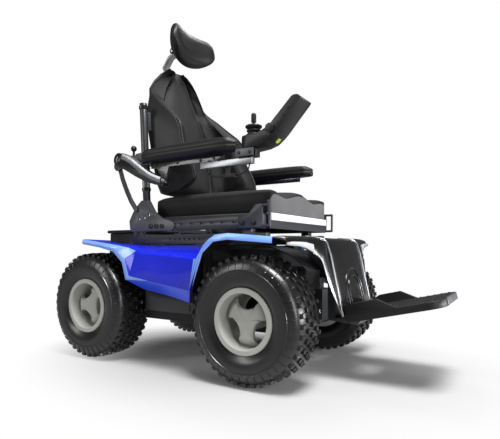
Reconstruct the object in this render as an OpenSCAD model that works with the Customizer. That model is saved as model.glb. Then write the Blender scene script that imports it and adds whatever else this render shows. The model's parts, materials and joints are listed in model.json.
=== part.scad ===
// All terrain powered wheelchair. Millimetres, +X forward, +Z up, right side at -Y.
// The origin is on the floor, under the middle of the overall box.

/* [Wheels] */
// Distance between the front and rear axles
wheelbase = 625; // [610:5:650]
// Overall width over the tyres
overall_w = 670; // [660:2:690]
// Tyre diameter over the tread
tyre_od = 355; // [348:1:362]
// Tyre width
tyre_w = 146; // [138:1:148]
// Rim diameter over the flanges
rim_od = 178; // [172:1:184]
// Rim width over the flanges
rim_w = 132; // [124:1:134]
// Diameter of each window between the rim spokes
window_d = 72; // [64:1:76]
// Wheel shaft diameter
shaft_d = 24; // [18:1:28]

/* [Chassis] */
// Height of the belly above the floor
belly_z = 142; // [134:1:148]
// Height from the top of the tyres to the base rails
arch_gap = 28; // [26:1:36]
// Frame rail height
frame_rail_h = 50; // [40:1:54]
// Frame rail width
frame_rail_w = 30; // [24:1:34]
// Gap between the two frame rails
frame_gap = 110; // [104:1:116]
// Crossbar height
crossbar_h = 18; // [14:1:22]
// Wall of the body panels
panel_t = 4; // [3:0.5:5]
// Battery length across the chair
battery_l = 330; // [300:5:340]
// Battery width along the chair
battery_w = 104; // [94:1:106]
// Battery height
battery_h = 160; // [140:5:164]
// Front axle pivot pin diameter
axle_pin_d = 30; // [24:1:34]
// Base rail height
base_rail_h = 32; // [28:1:36]
// Base rail width
base_rail_w = 25; // [20:1:26]
// Width over the base rails
base_w = 426; // [420:1:430]

/* [Seat] */
// Seat cushion width
seat_w = 410; // [400:2:414]
// Seat cushion depth
seat_d = 448; // [430:2:460]
// Cushion height at its rear corners
cushion_h = 66; // [58:1:70]
// Gap between base rails and seat rails
seat_gap = 12; // [11:0.5:16]
// Seat rail height
seat_rail_h = 40; // [36:1:44]
// Seat rail width
seat_rail_w = 22; // [18:1:24]
// Seat pan thickness
pan_t = 5; // [3:0.5:6]
// Thickness of the triangular back plates
plate_t = 6; // [5:0.5:6]
// Tilt shaft diameter
tilt_shaft_d = 16; // [14:1:18]

/* [Back and headrest] */
// Height of the back above the back pivot
back_h = 534; // [515:1:545]
// Half width of the back at arm height
back_half_w = 198; // [190:1:199]
// Back shell thickness
shell_t = 6; // [5:0.5:8]
// Back cushion thickness
back_pad_t = 44; // [36:1:50]
// Back cane diameter
cane_d = 25; // [22:1:25]
// Back cane length above its pivot
cane_l = 345; // [330:1:355]
// Headrest width
head_w = 244; // [240:2:264]
// Headrest height
head_h = 130; // [116:2:136]
// Headrest thickness
head_t = 52; // [44:1:56]

/* [Arms] */
// Arm pad length
pad_l = 370; // [355:1:376]
// Arm pad width
pad_w = 56; // [48:1:56]
// Arm pad height
pad_h = 44; // [38:1:48]
// Arm pivot pin diameter
arm_pin_d = 14; // [12:1:16]
// Width of the curved arm at its pivot
arm_root_w = 46; // [40:1:50]

/* [Joystick] */
// Width of the joystick housing
pod_w = 66; // [62:1:70]
// Swing arm length between its pivots
swing_l = 148; // [140:1:152]
// Swing arm bar height
swing_h = 16; // [14:1:18]
// Stick diameter
stick_d = 8; // [6:0.5:9]
// Stick height above the gimbal
stick_l = 74; // [66:1:80]

/* [Footplate] */
// Footplate width
foot_w = 270; // [254:2:280]
// Footplate reach in front of its hinge
foot_l = 228; // [215:1:236]
// Footplate thickness
foot_t = 20; // [16:1:22]
// Side guard height above the footplate
guard_h = 30; // [28:1:40]
// Slope of the footplate in degrees
foot_slope = 13.5; // [8:0.5:16]
// Footplate hinge pin diameter
foot_pin_d = 12; // [10:1:14]

/* [Clearances] */
// Radial gap of every running fit
run_clear = 0.05; // [0.03:0.01:0.1]
// Gap between pieces that pass each other
pass_clear = 0.5; // [0.4:0.1:0.8]
// Gap between a soft piece and its seat
soft_clear = 0.3; // [0.2:0.1:0.5]

/* [Hidden] */
$fn = 48;
// Overrun of every cut
cut = 1;

// Levels and places that follow the wheels
axle_x = wheelbase / 2;
axle_z = tyre_od / 2;
wheel_y = (overall_w - tyre_w) / 2;
tyre_in_y = overall_w / 2 - tyre_w;
base_z = tyre_od + arch_gap;
base_top = base_z + base_rail_h;
frame_top = base_z - crossbar_h;
frame_low = frame_top - frame_rail_h;
seat_low = base_top + seat_gap;
seat_rail_top = seat_low + seat_rail_h;
cushion_z = seat_rail_top + pan_t;

// Wheel details
flange_h = 8.5;
bead_r = rim_od / 2 - flange_h;
bead_clear = 0.3;
barrel_r = bead_r - bead_clear;
barrel_t = 6;
flange_t = 5;
disc_t = 10;
disc_out = 4;
hub_r = 29;
hub_in = 10;
hub_out = 45;
lobe_d = 36;
lobe_ring = 17;
window_ring = 66;
shaft_in = 42;
// Axial share of the half width and radial share of the section height
tyre_out_shares = [[0.78, 0], [0.81, 0.09], [0.88, 0.14], [0.97, 0.28], [1, 0.47], [0.985, 0.59],
    [0.966, 0.675], [0.918, 0.758], [0.836, 0.83], [0.685, 0.881], [0.397, 0.904], [0, 0.908]];
tyre_in_shares = [[0.68, 0], [0.74, 0.14], [0.85, 0.3], [0.88, 0.47], [0.86, 0.58], [0.8, 0.68],
    [0.62, 0.785], [0.3, 0.825], [0, 0.83]];
knob_count = 40;
knob_share = 0.48;
tread_wall = 2;
// Tread rows: axial middle and width, radial top and root, turn in half pitches, width of a knob
tread_shares = [[0, 0.17, 1, 0.88, 0, 1], [0.329, 0.17, 0.995, 0.875, 1, 1],
    [0.658, 0.17, 0.968, 0.845, 0, 1]];

// Chassis details
frame_reach = 125.5;
frame_front = axle_x + frame_reach;
frame_tail = 50;
frame_rear = axle_x + frame_tail;
rail_y = frame_gap / 2;
rail_out_y = rail_y + frame_rail_w;
cross_w = 30;
tray_wheel_gap = 16;
tray_half_l = wheelbase / 2 - axle_z - tray_wheel_gap;
tray_front_trim = 6;
tray_h = 95;
post_w = 20;
crossbar_w = 62;
battery_gap = 6;
bar_x = battery_w - post_w / 2;
post_y = battery_l / 2 + post_w;
hang_w = 58;
gear_half_l = 50;
gear_rail_gap = 10;
gear_in_y = rail_out_y + gear_rail_gap;
gear_tyre_gap = 11;
gear_out_y = tyre_in_y - gear_tyre_gap;
gear_h = 54;
pivot_rise = 1;
motor_d = gear_out_y - gear_in_y - 2 * pivot_rise;
motor_l = 105;
beam_h = 32;
beam_l = 44;
hub_d = 50;
pivot_z = axle_z + gear_h + beam_h + pivot_rise;
hanger_t = 20;
hanger_x = 38;
side_gap = 1;
box_tail = 52.5;
box_rear = axle_x + box_tail;
lid_t = 11;
lid_over = 8;
box_h = 60;

// Tilt axis and lever
seat_ahead = 20.5;
seat_front = wheelbase / 2 + seat_ahead;
seat_rear = seat_front - seat_d;
tilt_behind = 75;
tilt_x = seat_rear - tilt_behind;
box_behind = 38;
box_front = box_behind - tilt_x;
cross_behind = 78.25;
tilt_rise = 21;
tilt_z = base_top + tilt_rise;
ear_w = 34;
lever_l = 90;
lever_half = 15;
lever_w = 24;
lever_t = 16;
rod_d = 14;
rod_slack = 3.5;
rod_eye_w = 30;
rod_z = tilt_z - lever_l * cos(lever_half);
rod_eye_x = tilt_x - lever_l * sin(lever_half);
tube_d = 28;
tube_l = 150;
tube_ahead = 55;
tube_x = tilt_x + tube_ahead;
act_l = 95;
act_w = 60;
act_h = 40;
pin_d = 10;

// Body panel stations from the lower edge up to the inner top edge. Shares: x of the body length, taken
// from the nearer axle, y of the half width, the last one of its inner edge, z of the fender height
fender_rise = 29;
fender_z = base_z + fender_rise;
fender_in = 10;
fender_y = overall_w / 2 - fender_in;
tray_in = 85;
tray_half_w = max(fender_y - tray_in, post_y + post_w / 2 + panel_t + pass_clear);
body_l = 625;
body_clear = 7.35;
body_in_y = base_w / 2 + body_clear;
body_shares = [
    [[-0.534, 0.992, 0.932], [-0.536, 1, 0.952], [-0.534, 0.985, 0.975], [-0.53, 0.914, 0.968]],
    [[-0.4, 0.992, 0.905], [-0.4, 1, 0.925], [-0.4, 0.985, 0.948], [-0.4, 0.914, 0.922]],
    [[-0.29, 1, 0.872], [-0.27, 1, 0.895], [-0.262, 0.985, 0.922], [-0.25, 0.929, 0.925]],
    [[-0.226, 1, 0.79], [-0.208, 0.998, 0.82], [-0.2, 0.96, 0.905], [-0.2, 1, 0.925]],
    [[-0.2, 1, 0.66], [-0.178, 0.995, 0.688], [-0.15, 0.955, 0.88], [-0.15, 1, 0.925]],
    [[-0.12, 0.9, 0.585], [-0.058, 0.985, 0.658], [-0.107, 0.985, 0.862], [-0.12, 1, 0.925]],
    [[0.06, 0.9, 0.545], [0.09, 0.985, 0.63], [0.1, 0.985, 0.842], [0.1, 1, 0.925]],
    [[0.172, 0.9, 0.51], [0.206, 0.985, 0.604], [0.232, 0.985, 0.825], [0.24, 1, 0.925]],
    [[0.186, 0.93, 0.512], [0.216, 0.998, 0.622], [0.252, 0.998, 0.83], [0.285, 1, 0.93]],
    [[0.228, 1, 0.62], [0.258, 1, 0.79], [0.288, 0.99, 0.922], [0.31, 1, 0.94]],
    [[0.29, 1, 0.868], [0.304, 1, 0.925], [0.318, 0.99, 0.96], [0.335, 1, 0.95]],
    [[0.348, 1, 0.942], [0.348, 1, 0.97], [0.352, 0.988, 0.99], [0.36, 1, 0.96]],
    [[0.42, 1, 0.955], [0.42, 1, 0.982], [0.42, 0.988, 1], [0.42, 1, 0.965]],
    [[0.642, 1, 0.93], [0.642, 1, 0.955], [0.642, 0.988, 0.973], [0.642, 1, 0.96]]];

// Front fender stations from the outer edge to the shroud: y share, then x and z shares
nose_reach = 200;
nose_x = wheelbase / 2 + nose_reach;
nose_l = 512.5;
fender_stations = [
    [1, [[0.862, 0.918], [0.864, 0.935], [0.855, 0.955], [0.83, 0.966], [0.79, 0.972]]],
    [0.94, [[0.872, 0.915], [0.874, 0.94], [0.865, 0.962], [0.84, 0.974], [0.79, 0.978]]],
    [0.85, [[0.88, 0.912], [0.88, 0.94], [0.868, 0.964], [0.845, 0.977], [0.79, 0.981]]],
    [0.75, [[0.886, 0.9], [0.885, 0.938], [0.872, 0.963], [0.85, 0.979], [0.79, 0.982]]],
    [0.64, [[0.9, 0.87], [0.895, 0.925], [0.88, 0.962], [0.855, 0.979], [0.79, 0.982]]],
    [0.565, [[0.93, 0.82], [0.912, 0.905], [0.895, 0.958], [0.87, 0.977], [0.79, 0.982]]],
    [0.5, [[0.957, 0.65], [0.93, 0.88], [0.908, 0.953], [0.88, 0.973], [0.79, 0.981]]],
    [0.412, [[1.01, 0.44], [0.935, 0.85], [0.912, 0.949], [0.885, 0.968], [0.79, 0.98]]]];
// Front shroud: half width, then x and z shares down its middle, and how far it is crowned
shroud_half = 131;
shroud_shares = [[1.01, 0.44], [0.988, 0.56], [0.964, 0.7], [0.94, 0.85], [0.918, 0.935],
    [0.9, 0.958], [0.86, 0.97], [0.79, 0.978]];
shroud_crown = 5;
shroud_steps = 10;
lamp_last = 4;
lamp_t = 6;

// Arch liners
arch_clear = 19;
liner_r = axle_z + arch_clear;
liner_t = 3;
liner_in = 53;
liner_in_y = tyre_in_y - liner_in;
liner_reach = 47;
liner_out_y = tyre_in_y + liner_reach;
liner_from = 42;
liner_turn = 56;
liner_low = 31;
liner_low_turn = 10.8;
liner_low_in = 31;
liner_low_y = tyre_in_y - liner_low_in;
guard_gap = 4;
guard_plate_y = tyre_in_y - guard_gap;
guard_plate_t = 4;
box_gap = 3;
box_half_w = guard_plate_y - guard_plate_t - box_gap;
guard_plate_l = 190;
guard_plate_h = 62;

// Sill plates
sill_y = tray_half_w;
sill_t = 5;
screw_d = 11;
screw_h = 3;
screw_in = 12;
sill_rear_share = 0.98;
sill_front_share = 0.66;
sill_low = 26;
sill_rear_z = 92;
sill_front_z = 60;

// Seat places
rail_lap = 5;
seat_rail_y = base_w / 2 - rail_lap;
seat_rail_out = seat_rail_y + seat_rail_w;
plate_y = seat_rail_out;
plate_out = plate_y + plate_t;
hole_d = 6;
hole_step = 40;
hole_first = 135;
rest_w = 30;
apron_t = 6;
pan_in = 8;
trim_t = 4;
trim_h = 21;
trim_half_w = 202;
trim_split_share = 0.28;
trim_gap = 2;
bracket_rear = 92;
bracket_front = 12;
bracket_top = 66;
bracket_low = 2;
bracket_round = 22;
loop_d = 8;
loop_reach = 22;
loop_h = 58;
bolt_d = 14;
bolt_h = 4;

// Seat cushion form
cushion_front_rise = 6;
cushion_crown = 10;
trough_depth = 20;
cushion_draw = 5;
cushion_edge_r = 10;
cushion_x_steps = 14;
cushion_y_steps = 24;
trough_share = 0.52;

// Back places: pivot of the canes, pivot of the arms, lower pivot of the arm links
back_ahead = 52;
back_x = tilt_x + back_ahead;
back_rise = 79;
back_z = tilt_z + back_rise;
cane_y = plate_y - cane_d / 2 - pass_clear;
cane_lean = 2.9;
arm_behind = 81;
arm_x = back_x - arm_behind;
arm_rise = 153;
arm_z = back_z + arm_rise;
link_dx = -28;
link_dz = -15;
link_x = back_x + link_dx;
link_z = back_z + link_dz;
carry_x = arm_x + link_dx;
carry_z = arm_z + link_dz;
link_t = 5;
link_w = 16;
link_in = plate_out + pass_clear;
link_out = link_in + link_t;
carrier_in = link_out + pass_clear;
carrier_t = 6;
carrier_out = carrier_in + carrier_t;
arm_in = carrier_out + pass_clear;
arm_t = 20;
arm_out = arm_in + arm_t;
link_pin_d = 10;
// Places along the bowed link, as shares of its run in x and z
link_bow_shares = [[0, 0], [0.3, 0.2], [0.56, 0.44], [0.8, 0.7], [1, 1]];
plate_shares = [[0, -0.1], [1, -0.1], [1, 0.25], [0.8, 0.36], [0.62, 0.62], [0.47, 1.06], [0.26, 1.06],
    [0.14, 0.86], [0.03, 0.62], [-0.07, 0.3], [-0.05, 0]];
plate_l = 172;
plate_h = 88;
plate_lobe_d = 30;
plate_hole_shares = [[0.2, 0.36], [0.34, 0.4], [0.46, 0.5]];
plate_bolt_shares = [0.52, 0.66, 0.8];
plate_bolt_rise_share = 0.07;

// Back sections by height share: half width share, rear x, wing front x
back_gap = 45;
back_low = back_z + back_gap;
back_w_table = [[0, 0.92], [0.072, 0.985], [0.25, 1], [0.5, 0.99], [0.7, 0.86], [0.8, 0.72], [0.9, 0.52], [0.96, 0.34], [1, 0.2]];
back_rear_share_table = [[0, -0.05], [0.3, -0.105], [0.6, -0.165], [0.8, -0.182], [1, -0.172]];
back_wing_share_table = [[0, 0.2], [0.072, 0.345], [0.15, 0.33], [0.3, 0.25], [0.476, 0.22], [0.568, 0.112], [0.656, 0.02], [0.742, -0.086], [0.8, -0.105], [1, -0.13]];
back_steps = 14;
back_around = 24;
back_arc_share = 0.62;
back_bend = 66;
panel_share = 0.3;
seam_depth = 7;
back_thin_share = 0.55;
back_bulge = 30;
socket_h = 46;
socket_w = 52;
socket_t = 14;
socket_low_share = 0.8;

// Headrest places
stem_w = 30;
stem_t = 6;
stem_x = back_x + back_h * back_rear_share_table[3].y - socket_t / 2 + soft_clear;
stem_at = 425;
stem_low = back_z + stem_at;
// Stem turns above its straight part: steps in x and z
stem_rise = 105;
stem_back = 13;
stem_back_rise = 27;
stem_fwd = 28;
stem_fwd_rise = 36;
head_in = 30;
head_rise = 14;
head_pin_d = 12;
head_eye_d = 24;
head_seat = 0.7;
head_x = stem_x - stem_back + stem_fwd + head_in;
head_z = stem_low + stem_rise + stem_back_rise + stem_fwd_rise + head_rise;
head_gap = 26;
head_wing = 40;
head_draw_share = 0.62;
head_steps = 14;
head_around = 18;

// Arm places
pad_y = 260;
pad_ahead = 104;
pad_rear = arm_x + pad_ahead;
pad_rise = 20;
pad_top = arm_z + pad_rise;
pad_low = pad_top - pad_h;
arm_plate_h = 17;
arm_plate_t = 8;
arm_plate_rear = 34;
arm_plate_front = 50;
// Curve of the arm from its pivot: shares of its run, and its width share
arm_run = 196;
arm_drop = 90;
arm_shares = [[0, 0, 1], [0.22, 0.2, 0.98], [0.45, 0.5, 0.86], [0.68, 0.77, 0.7], [0.88, 0.93, 0.58], [1, 1, 0.54]];
strut_w = 46;
strut_lean = 24;
clamp_w = 50;
clamp_h = 44;
clamp_bar_w = 34;
clamp_in = 203;
clamp_bar_t = 16;
knob_d = 20;
knob_stem_d = 8;
knob_stem_l = 24;
knob_back = 30;
tab_h = 62;
tab_rise = 255;
tab_w = 26;

// Joystick places
swing_w = 16;
swing_y = 290;
swing_ahead = 384;
swing_rear = arm_x + swing_ahead;
swing_end = 12;
swing_drop = 54;
swing_top = arm_z - swing_drop;
swing_pin_d = 8;
mount_t = 6;
mount_w = 30;
pod_x = swing_rear + swing_l;
stick_ahead = 3;
stick_x = pod_x + stick_ahead;
stick_y = 272;
pod_z = swing_top + side_gap;
pod_l = 188;
pod_h = 140;
// Side outline of the housing: shares of its length from its rear end and of its height
pod_shares = [[0.005, 0.236], [0.043, 0.179], [0.112, 0.157], [0.25, 0.171], [0.367, 0.189], [0.495, 0.243],
    [0.601, 0.35], [0.686, 0.464], [0.819, 0.664], [0.989, 0.914], [1, 0.95], [0.957, 0.993], [0.899, 1],
    [0.862, 0.979], [0.553, 0.571], [0.473, 0.493], [0.378, 0.443], [0.293, 0.41], [0.059, 0.41], [0.011, 0.35]];
pod_rear = stick_x - pod_w / 2;
bracket_l = 52;
bracket_h = 34;
bracket_back = 28;
well_d = 36;
well_low = 36;
gimbal_rise = 50;
gimbal_z = pod_z + gimbal_rise;
gimbal_d = 30;
gimbal_h = 8;
gimbal_hole = 17;
gimbal_pin_d = 5;
gimbal_pin_l = 5;
boot_low = 8;
boot_h = 34;
boot_d = 46;
boot_neck = 18;
boot_wall = 4;
boot_ring_shares = [0.9, 0.84, 1];
knob_top_d = 14;
knob_top_l = 26;
screen_t = 2;
screen_edge = 9;
screen_at_share = 0.15;
dial_d = 24;
dial_t = 6;
dial_stub_d = 7;
dial_stub_l = 10;
dial_x_share = 0.543;
dial_z_share = 0.471;
cable_d = 4;
cable_sides = 8;
link_box_l = 42;
link_box_h = 10;
link_box_drop = 22;
link_box_at = 62;
link_box_w = 14;
hook_w = 16;
hook_t = 4;
// Cable route, rear and front stretch, as x, y, z
cable_rear = [[170, -290, 597], [172, -290, 588], [180, -290, 579], [196, -290, 573], [212, -290, 571], [227, -290, 571]];
cable_front = [[269, -290, 571], [284, -290, 572], [300, -290, 577], [311, -290, 586], [314, -290, 597]];

// Footplate places
foot_ahead = 239.5;
foot_x = wheelbase / 2 + foot_ahead;
foot_rise = 54;
foot_z = belly_z + foot_rise;
foot_rear = 27;
foot_drop = 4;
guard_t = 12;
guard_l = 112;
guard_end = 46;
notch_l = 30;
tongue_half = 45;
tongue_w = 24;
foot_round = 42;
knuckle_w = 14;
knuckle_d = 24;
rib_t = 10;
rib_drop = 14;
foot_leg_x = frame_front + tongue_w / 2;
foot_leg_low = 17;

// Overall box: rear of the tyres to the tip of the footplate
foot_tip = foot_x + foot_l * cos(foot_slope) + foot_drop * sin(foot_slope);
mid_x = (foot_tip - axle_x - axle_z) / 2;

// Colours of the finishes
blue = "#1c2fd8";
dark_grey = "#55575a";
black = "#1d1d1f";
soft_black = "#232325";
rim_grey = "#c9c8c0";
silver = "#c4c6c8";
steel = "#9a9ca0";
white = "#f2f2f2";

// Moves the model from the middle of the wheelbase to the middle of its box
module placed() {
    translate([-mid_x, 0, 0]) children();
}

module both_sides() {
    children();
    mirror([0, 1, 0]) children();
}

module on_left() {
    mirror([0, 1, 0]) children();
}

// Box between two corners
module slab(a, b) {
    translate(a) cube(b - a);
}

module rod_x(x0, x1, y, z, d) {
    translate([x0, y, z]) rotate([0, 90, 0]) cylinder(d = d, h = x1 - x0);
}

module rod_y(x, y0, y1, z, d) {
    translate([x, y0, z]) rotate([-90, 0, 0]) cylinder(d = d, h = y1 - y0);
}

module rod_z(x, y, z0, z1, d) {
    translate([x, y, z0]) cylinder(d = d, h = z1 - z0);
}

// Outline in x and z given thickness from y0 to y1
module plate(y0, y1) {
    translate([0, y1, 0]) rotate([90, 0, 0]) linear_extrude(y1 - y0) children();
}

// Flat bar with round ends
module bar(p, q, w) {
    n = [p.y - q.y, q.x - p.x] / norm(q - p) * w / 2;
    polygon([p - n, q - n, q + n, p + n]);
    translate(p) circle(d = w);
    translate(q) circle(d = w);
}

// Bar through several points, with its own width at each point and round ends
module path(points, widths) {
    last = len(points) - 1;
    dirs = [for (i = [0:last]) points[min(i + 1, last)] - points[max(i - 1, 0)]];
    turns = [for (d = dirs) atan2(d.y, d.x)];
    function side(i, a) = points[i] + widths[i] / 2 * [cos(turns[i] + a), sin(turns[i] + a)];
    polygon(concat([for (i = [0:last]) side(i, -90)], [for (a = [-75:15:75]) side(last, a)],
        [for (i = [last:-1:0]) side(i, 90)], [for (a = [105:15:255]) side(0, a)]));
}

// Closed body through rings that run anticlockwise seen from the far end
module loft(rings) {
    n = len(rings[0]);
    m = len(rings);
    sides = [for (i = [0:m - 2], j = [0:n - 1])
        let (a = i * n + j, b = i * n + (j + 1) % n, c = a + n, d = b + n) each [[a, c, d], [a, d, b]]];
    first = [for (j = [1:n - 2]) [0, j, j + 1]];
    last = [for (j = [1:n - 2]) [0, j + 1, j] + (m - 1) * n * [1, 1, 1]];
    polyhedron([for (r = rings) each r], concat(sides, first, last));
}

// Thick sheet between an outer and an inner grid of points
module sheet(outer, inner) {
    m = len(outer);
    n = len(outer[0]);
    s = m * n;
    faces = [for (i = [0:m - 2], j = [0:n - 2])
        let (a = i * n + j, b = a + 1, c = a + n, d = c + 1)
        each [[a, b, d], [a, d, c], [a + s, d + s, b + s], [a + s, c + s, d + s]]];
    ends = [for (j = [0:n - 2])
        let (a = j, b = j + 1, c = (m - 1) * n + j, d = c + 1)
        each [[b, a, a + s], [b, a + s, b + s], [c, d, d + s], [c, d + s, c + s]]];
    edges = [for (i = [0:m - 2])
        let (a = i * n, c = a + n, b = a + n - 1, d = b + n)
        each [[a, c, c + s], [a, c + s, a + s], [d, b, b + s], [d, b + s, d + s]]];
    polyhedron(concat([for (r = outer) each r], [for (r = inner) each r]), concat(faces, ends, edges));
}

// Round tube swept along a route in one upright plane
module tube(route, d, sides) {
    loft([for (i = [0:len(route) - 1])
        let (p = route[max(0, i - 1)], q = route[min(len(route) - 1, i + 1)], t = (q - p) / norm(q - p),
            u = [0, 1, 0], v = cross(t, u))
        [for (k = [0:sides - 1]) route[i] + (u * cos(360 * k / sides) + v * sin(360 * k / sides)) * d / 2]]);
}

function power(v, e) = sign(v) * pow(abs(v), e);

// Wheels, modelled on their axis with the outer face at -Y
module at_wheel(front, right) {
    placed() mirror([0, right ? 0 : 1, 0]) translate([front ? axle_x : -axle_x, -wheel_y, axle_z]) children();
}

// A ring of knobs: teeth with a draft, hollow inside the wall of the tyre
module tread_ring(row, side) {
    section_h = tyre_od / 2 - bead_r;
    top = bead_r + row[2] * section_h;
    root = bead_r + row[3] * section_h;
    pitch = 360 / knob_count;
    half = pitch * knob_share * row[5] / 2;
    y = side * row.x * tyre_w / 2;
    w = row.y * tyre_w / 2;
    turn = row[4] * pitch / 2;
    teeth = [for (k = [0:knob_count - 1], e = [[-1, root], [-0.88, top], [0.88, top], [1, root]])
        let (a = k * pitch + turn + e.x * half) [e.y * cos(a), e.y * sin(a)]];
    translate([0, y + w / 2, 0]) rotate([90, 0, 0]) difference() {
        linear_extrude(w) polygon(teeth);
        translate([0, 0, -cut]) cylinder(h = w + 2 * cut, r = root - tread_wall);
    }
}

module tyre() {
    section_h = tyre_od / 2 - bead_r;
    outer = [for (p = tyre_out_shares) [bead_r + p.y * section_h, p.x * tyre_w / 2]];
    inner = [for (p = tyre_in_shares) [bead_r + p.y * section_h, p.x * tyre_w / 2]];
    over = concat(outer, [for (i = [len(outer) - 2:-1:0]) [outer[i].x, -outer[i].y]]);
    under = concat(inner, [for (i = [len(inner) - 2:-1:0]) [inner[i].x, -inner[i].y]]);
    color(black) {
        rotate([90, 0, 0]) rotate_extrude($fn = 96)
            polygon(concat(over, [for (i = [len(under) - 1:-1:0]) under[i]]));
        for (row = tread_shares, side = row.x > 0 ? [-1, 1] : [1]) tread_ring(row, side);
    }
}

module rim(phase) {
    half_w = rim_w / 2;
    color(rim_grey) rotate([90, 0, 0]) {
        rotate_extrude($fn = 96) polygon([[barrel_r - barrel_t, -half_w], [rim_od / 2, -half_w],
            [rim_od / 2, flange_t - half_w], [barrel_r, flange_t - half_w], [barrel_r, half_w - flange_t],
            [rim_od / 2, half_w - flange_t], [rim_od / 2, half_w], [barrel_r - barrel_t, half_w]]);
        difference() {
            translate([0, 0, disc_out]) cylinder(r = barrel_r - barrel_t / 2, h = disc_t);
            for (a = [0, 120, 240]) rotate(phase + a) translate([window_ring, 0, disc_out - cut])
                cylinder(d = window_d, h = disc_t + 2 * cut);
        }
        translate([0, 0, -hub_in]) cylinder(r = hub_r, h = hub_in + disc_out + disc_t);
        for (a = [60, 180, 300]) rotate(phase + a) translate([lobe_ring, 0, 0])
            cylinder(d = lobe_d, h = hub_out);
        translate([0, 0, gear_out_y - wheel_y - shaft_in]) cylinder(d = shaft_d, h = wheel_y - gear_out_y + shaft_in);
    }
}

// Gear motor at the right end of an axle, its motor pointing to the middle of the chair
module gear_motor(front) {
    s = front ? 1 : -1;
    x = s * axle_x;
    color(dark_grey) difference() {
        union() {
            slab([x - gear_half_l, -gear_out_y, axle_z - gear_h], [x + gear_half_l, -gear_in_y, axle_z + gear_h]);
            rod_x(min(x, x - s * (gear_half_l + motor_l)), max(x, x - s * (gear_half_l + motor_l)),
                -(gear_in_y + gear_out_y) / 2, axle_z, motor_d);
        }
        rod_y(x, -gear_out_y - cut, shaft_in - gear_out_y + cut, axle_z, shaft_d + 2 * run_clear);
    }
}

module rear_motors() {
    placed() both_sides() gear_motor(false);
}

module front_motors() {
    placed() both_sides() gear_motor(true);
}

module front_axle_beam() {
    color(dark_grey) placed() difference() {
        union() {
            slab([axle_x - beam_l / 2, -gear_out_y, axle_z + gear_h],
                [axle_x + beam_l / 2, gear_out_y, axle_z + gear_h + beam_h]);
            rod_x(axle_x - hanger_x + side_gap, axle_x + hanger_x - side_gap, 0, pivot_z, hub_d);
        }
        rod_x(axle_x - hanger_x, axle_x + hanger_x, 0, pivot_z, axle_pin_d + 2 * run_clear);
    }
}

module chassis_frame() {
    color(dark_grey) placed() {
        both_sides() slab([-frame_rear, -rail_out_y, frame_low], [frame_front, -rail_y, frame_top]);
        for (x = [-frame_rear, tilt_x - cross_behind, tube_x + tube_l + act_l, frame_front - cross_w])
            slab([x, -rail_y - cut, frame_low], [x + cross_w, rail_y + cut, frame_top]);
        for (s = [-1, 1]) {
            slab([s * bar_x - crossbar_w / 2, -base_w / 2, frame_top], [s * bar_x + crossbar_w / 2, base_w / 2, base_z]);
            both_sides() slab([s * bar_x - post_w / 2, -post_y - post_w / 2, belly_z + panel_t],
                [s * bar_x + post_w / 2, post_w / 2 - post_y, frame_top + cut]);
            slab([axle_x + s * (hanger_x + hanger_t / 2) - hanger_t / 2, -rail_y - cut, pivot_z - hub_d / 2],
                [axle_x + s * (hanger_x + hanger_t / 2) + hanger_t / 2, rail_y + cut, frame_top]);
        }
        rod_x(axle_x - hanger_x - hanger_t, axle_x + hanger_x + hanger_t, 0, pivot_z, axle_pin_d);
        both_sides() slab([-axle_x - hang_w / 2, -gear_in_y - frame_rail_w, axle_z + gear_h],
            [hang_w / 2 - axle_x, -rail_y - cut, frame_low + cut]);
    }
}

module batteries() {
    color(black) placed() for (s = [-1, 1])
        translate([s * (battery_w + battery_gap) / 2 - battery_w / 2 - tray_front_trim / 2, -battery_l / 2,
            belly_z + panel_t]) cube([battery_w, battery_l, battery_h]);
}

module battery_tray() {
    color(black) placed() difference() {
        slab([-tray_half_l, -tray_half_w, belly_z], [tray_half_l - tray_front_trim, tray_half_w, belly_z + tray_h]);
        slab([panel_t - tray_half_l, panel_t - tray_half_w, belly_z + panel_t],
            [tray_half_l - tray_front_trim - panel_t, tray_half_w - panel_t, belly_z + tray_h + cut]);
    }
}

function body_x(s) = s < 0 ? (s + 0.5) * body_l - axle_x : (s - 0.5) * body_l + axle_x;
function nose_at(s) = nose_x + (s - 1) * nose_l;

// Blue moulding of one side: rear fender, side panel and front arch
module side_body() {
    outer = [for (st = body_shares) [for (j = [0:3])
        [body_x(st[j].x), -st[j].y * (j < 3 ? fender_y : body_in_y), st[j].z * fender_z]]];
    inner = [for (st = outer) [for (j = [0:3]) st[j] + [0, panel_t, j < 2 ? 0 : -panel_t]]];
    color(blue) sheet(outer, inner);
}

module side_body_right() {
    placed() side_body();
}

module side_body_left() {
    placed() on_left() side_body();
}

module sill_plates() {
    rear = -tray_half_l * sill_rear_share;
    front = tray_half_l * sill_front_share;
    low = belly_z + sill_low;
    color(dark_grey) placed() both_sides() {
        plate(-sill_y - sill_t, -sill_y) polygon([[rear, low], [front, low], [front + screw_in, belly_z + sill_front_z],
            [rear, belly_z + sill_rear_z]]);
        for (p = [[rear + screw_in, low + screw_in], [front - screw_in, low + screw_in],
            [rear + screw_in, belly_z + sill_rear_z - 2 * screw_in], [front - screw_in, belly_z + sill_front_z - screw_in]])
            rod_y(p.x, -sill_y - sill_t - screw_h, -sill_y - sill_t, p.y, screw_d);
    }
}

// Dark fender in front of the wheel, with its lip sweeping in towards the shroud
module front_fender() {
    outer = [for (st = fender_stations) [for (p = st[1]) [nose_at(p.x), -st[0] * fender_y, p.y * fender_z]]];
    inner = [for (st = outer) [for (j = [0:4]) st[j] + (j < 2 ? [-panel_t, 0, 0] : [-panel_t, 0, -panel_t])]];
    color(black) sheet(outer, inner);
}

module front_fender_right() {
    placed() front_fender();
}

module front_fender_left() {
    placed() on_left() front_fender();
}

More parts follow.
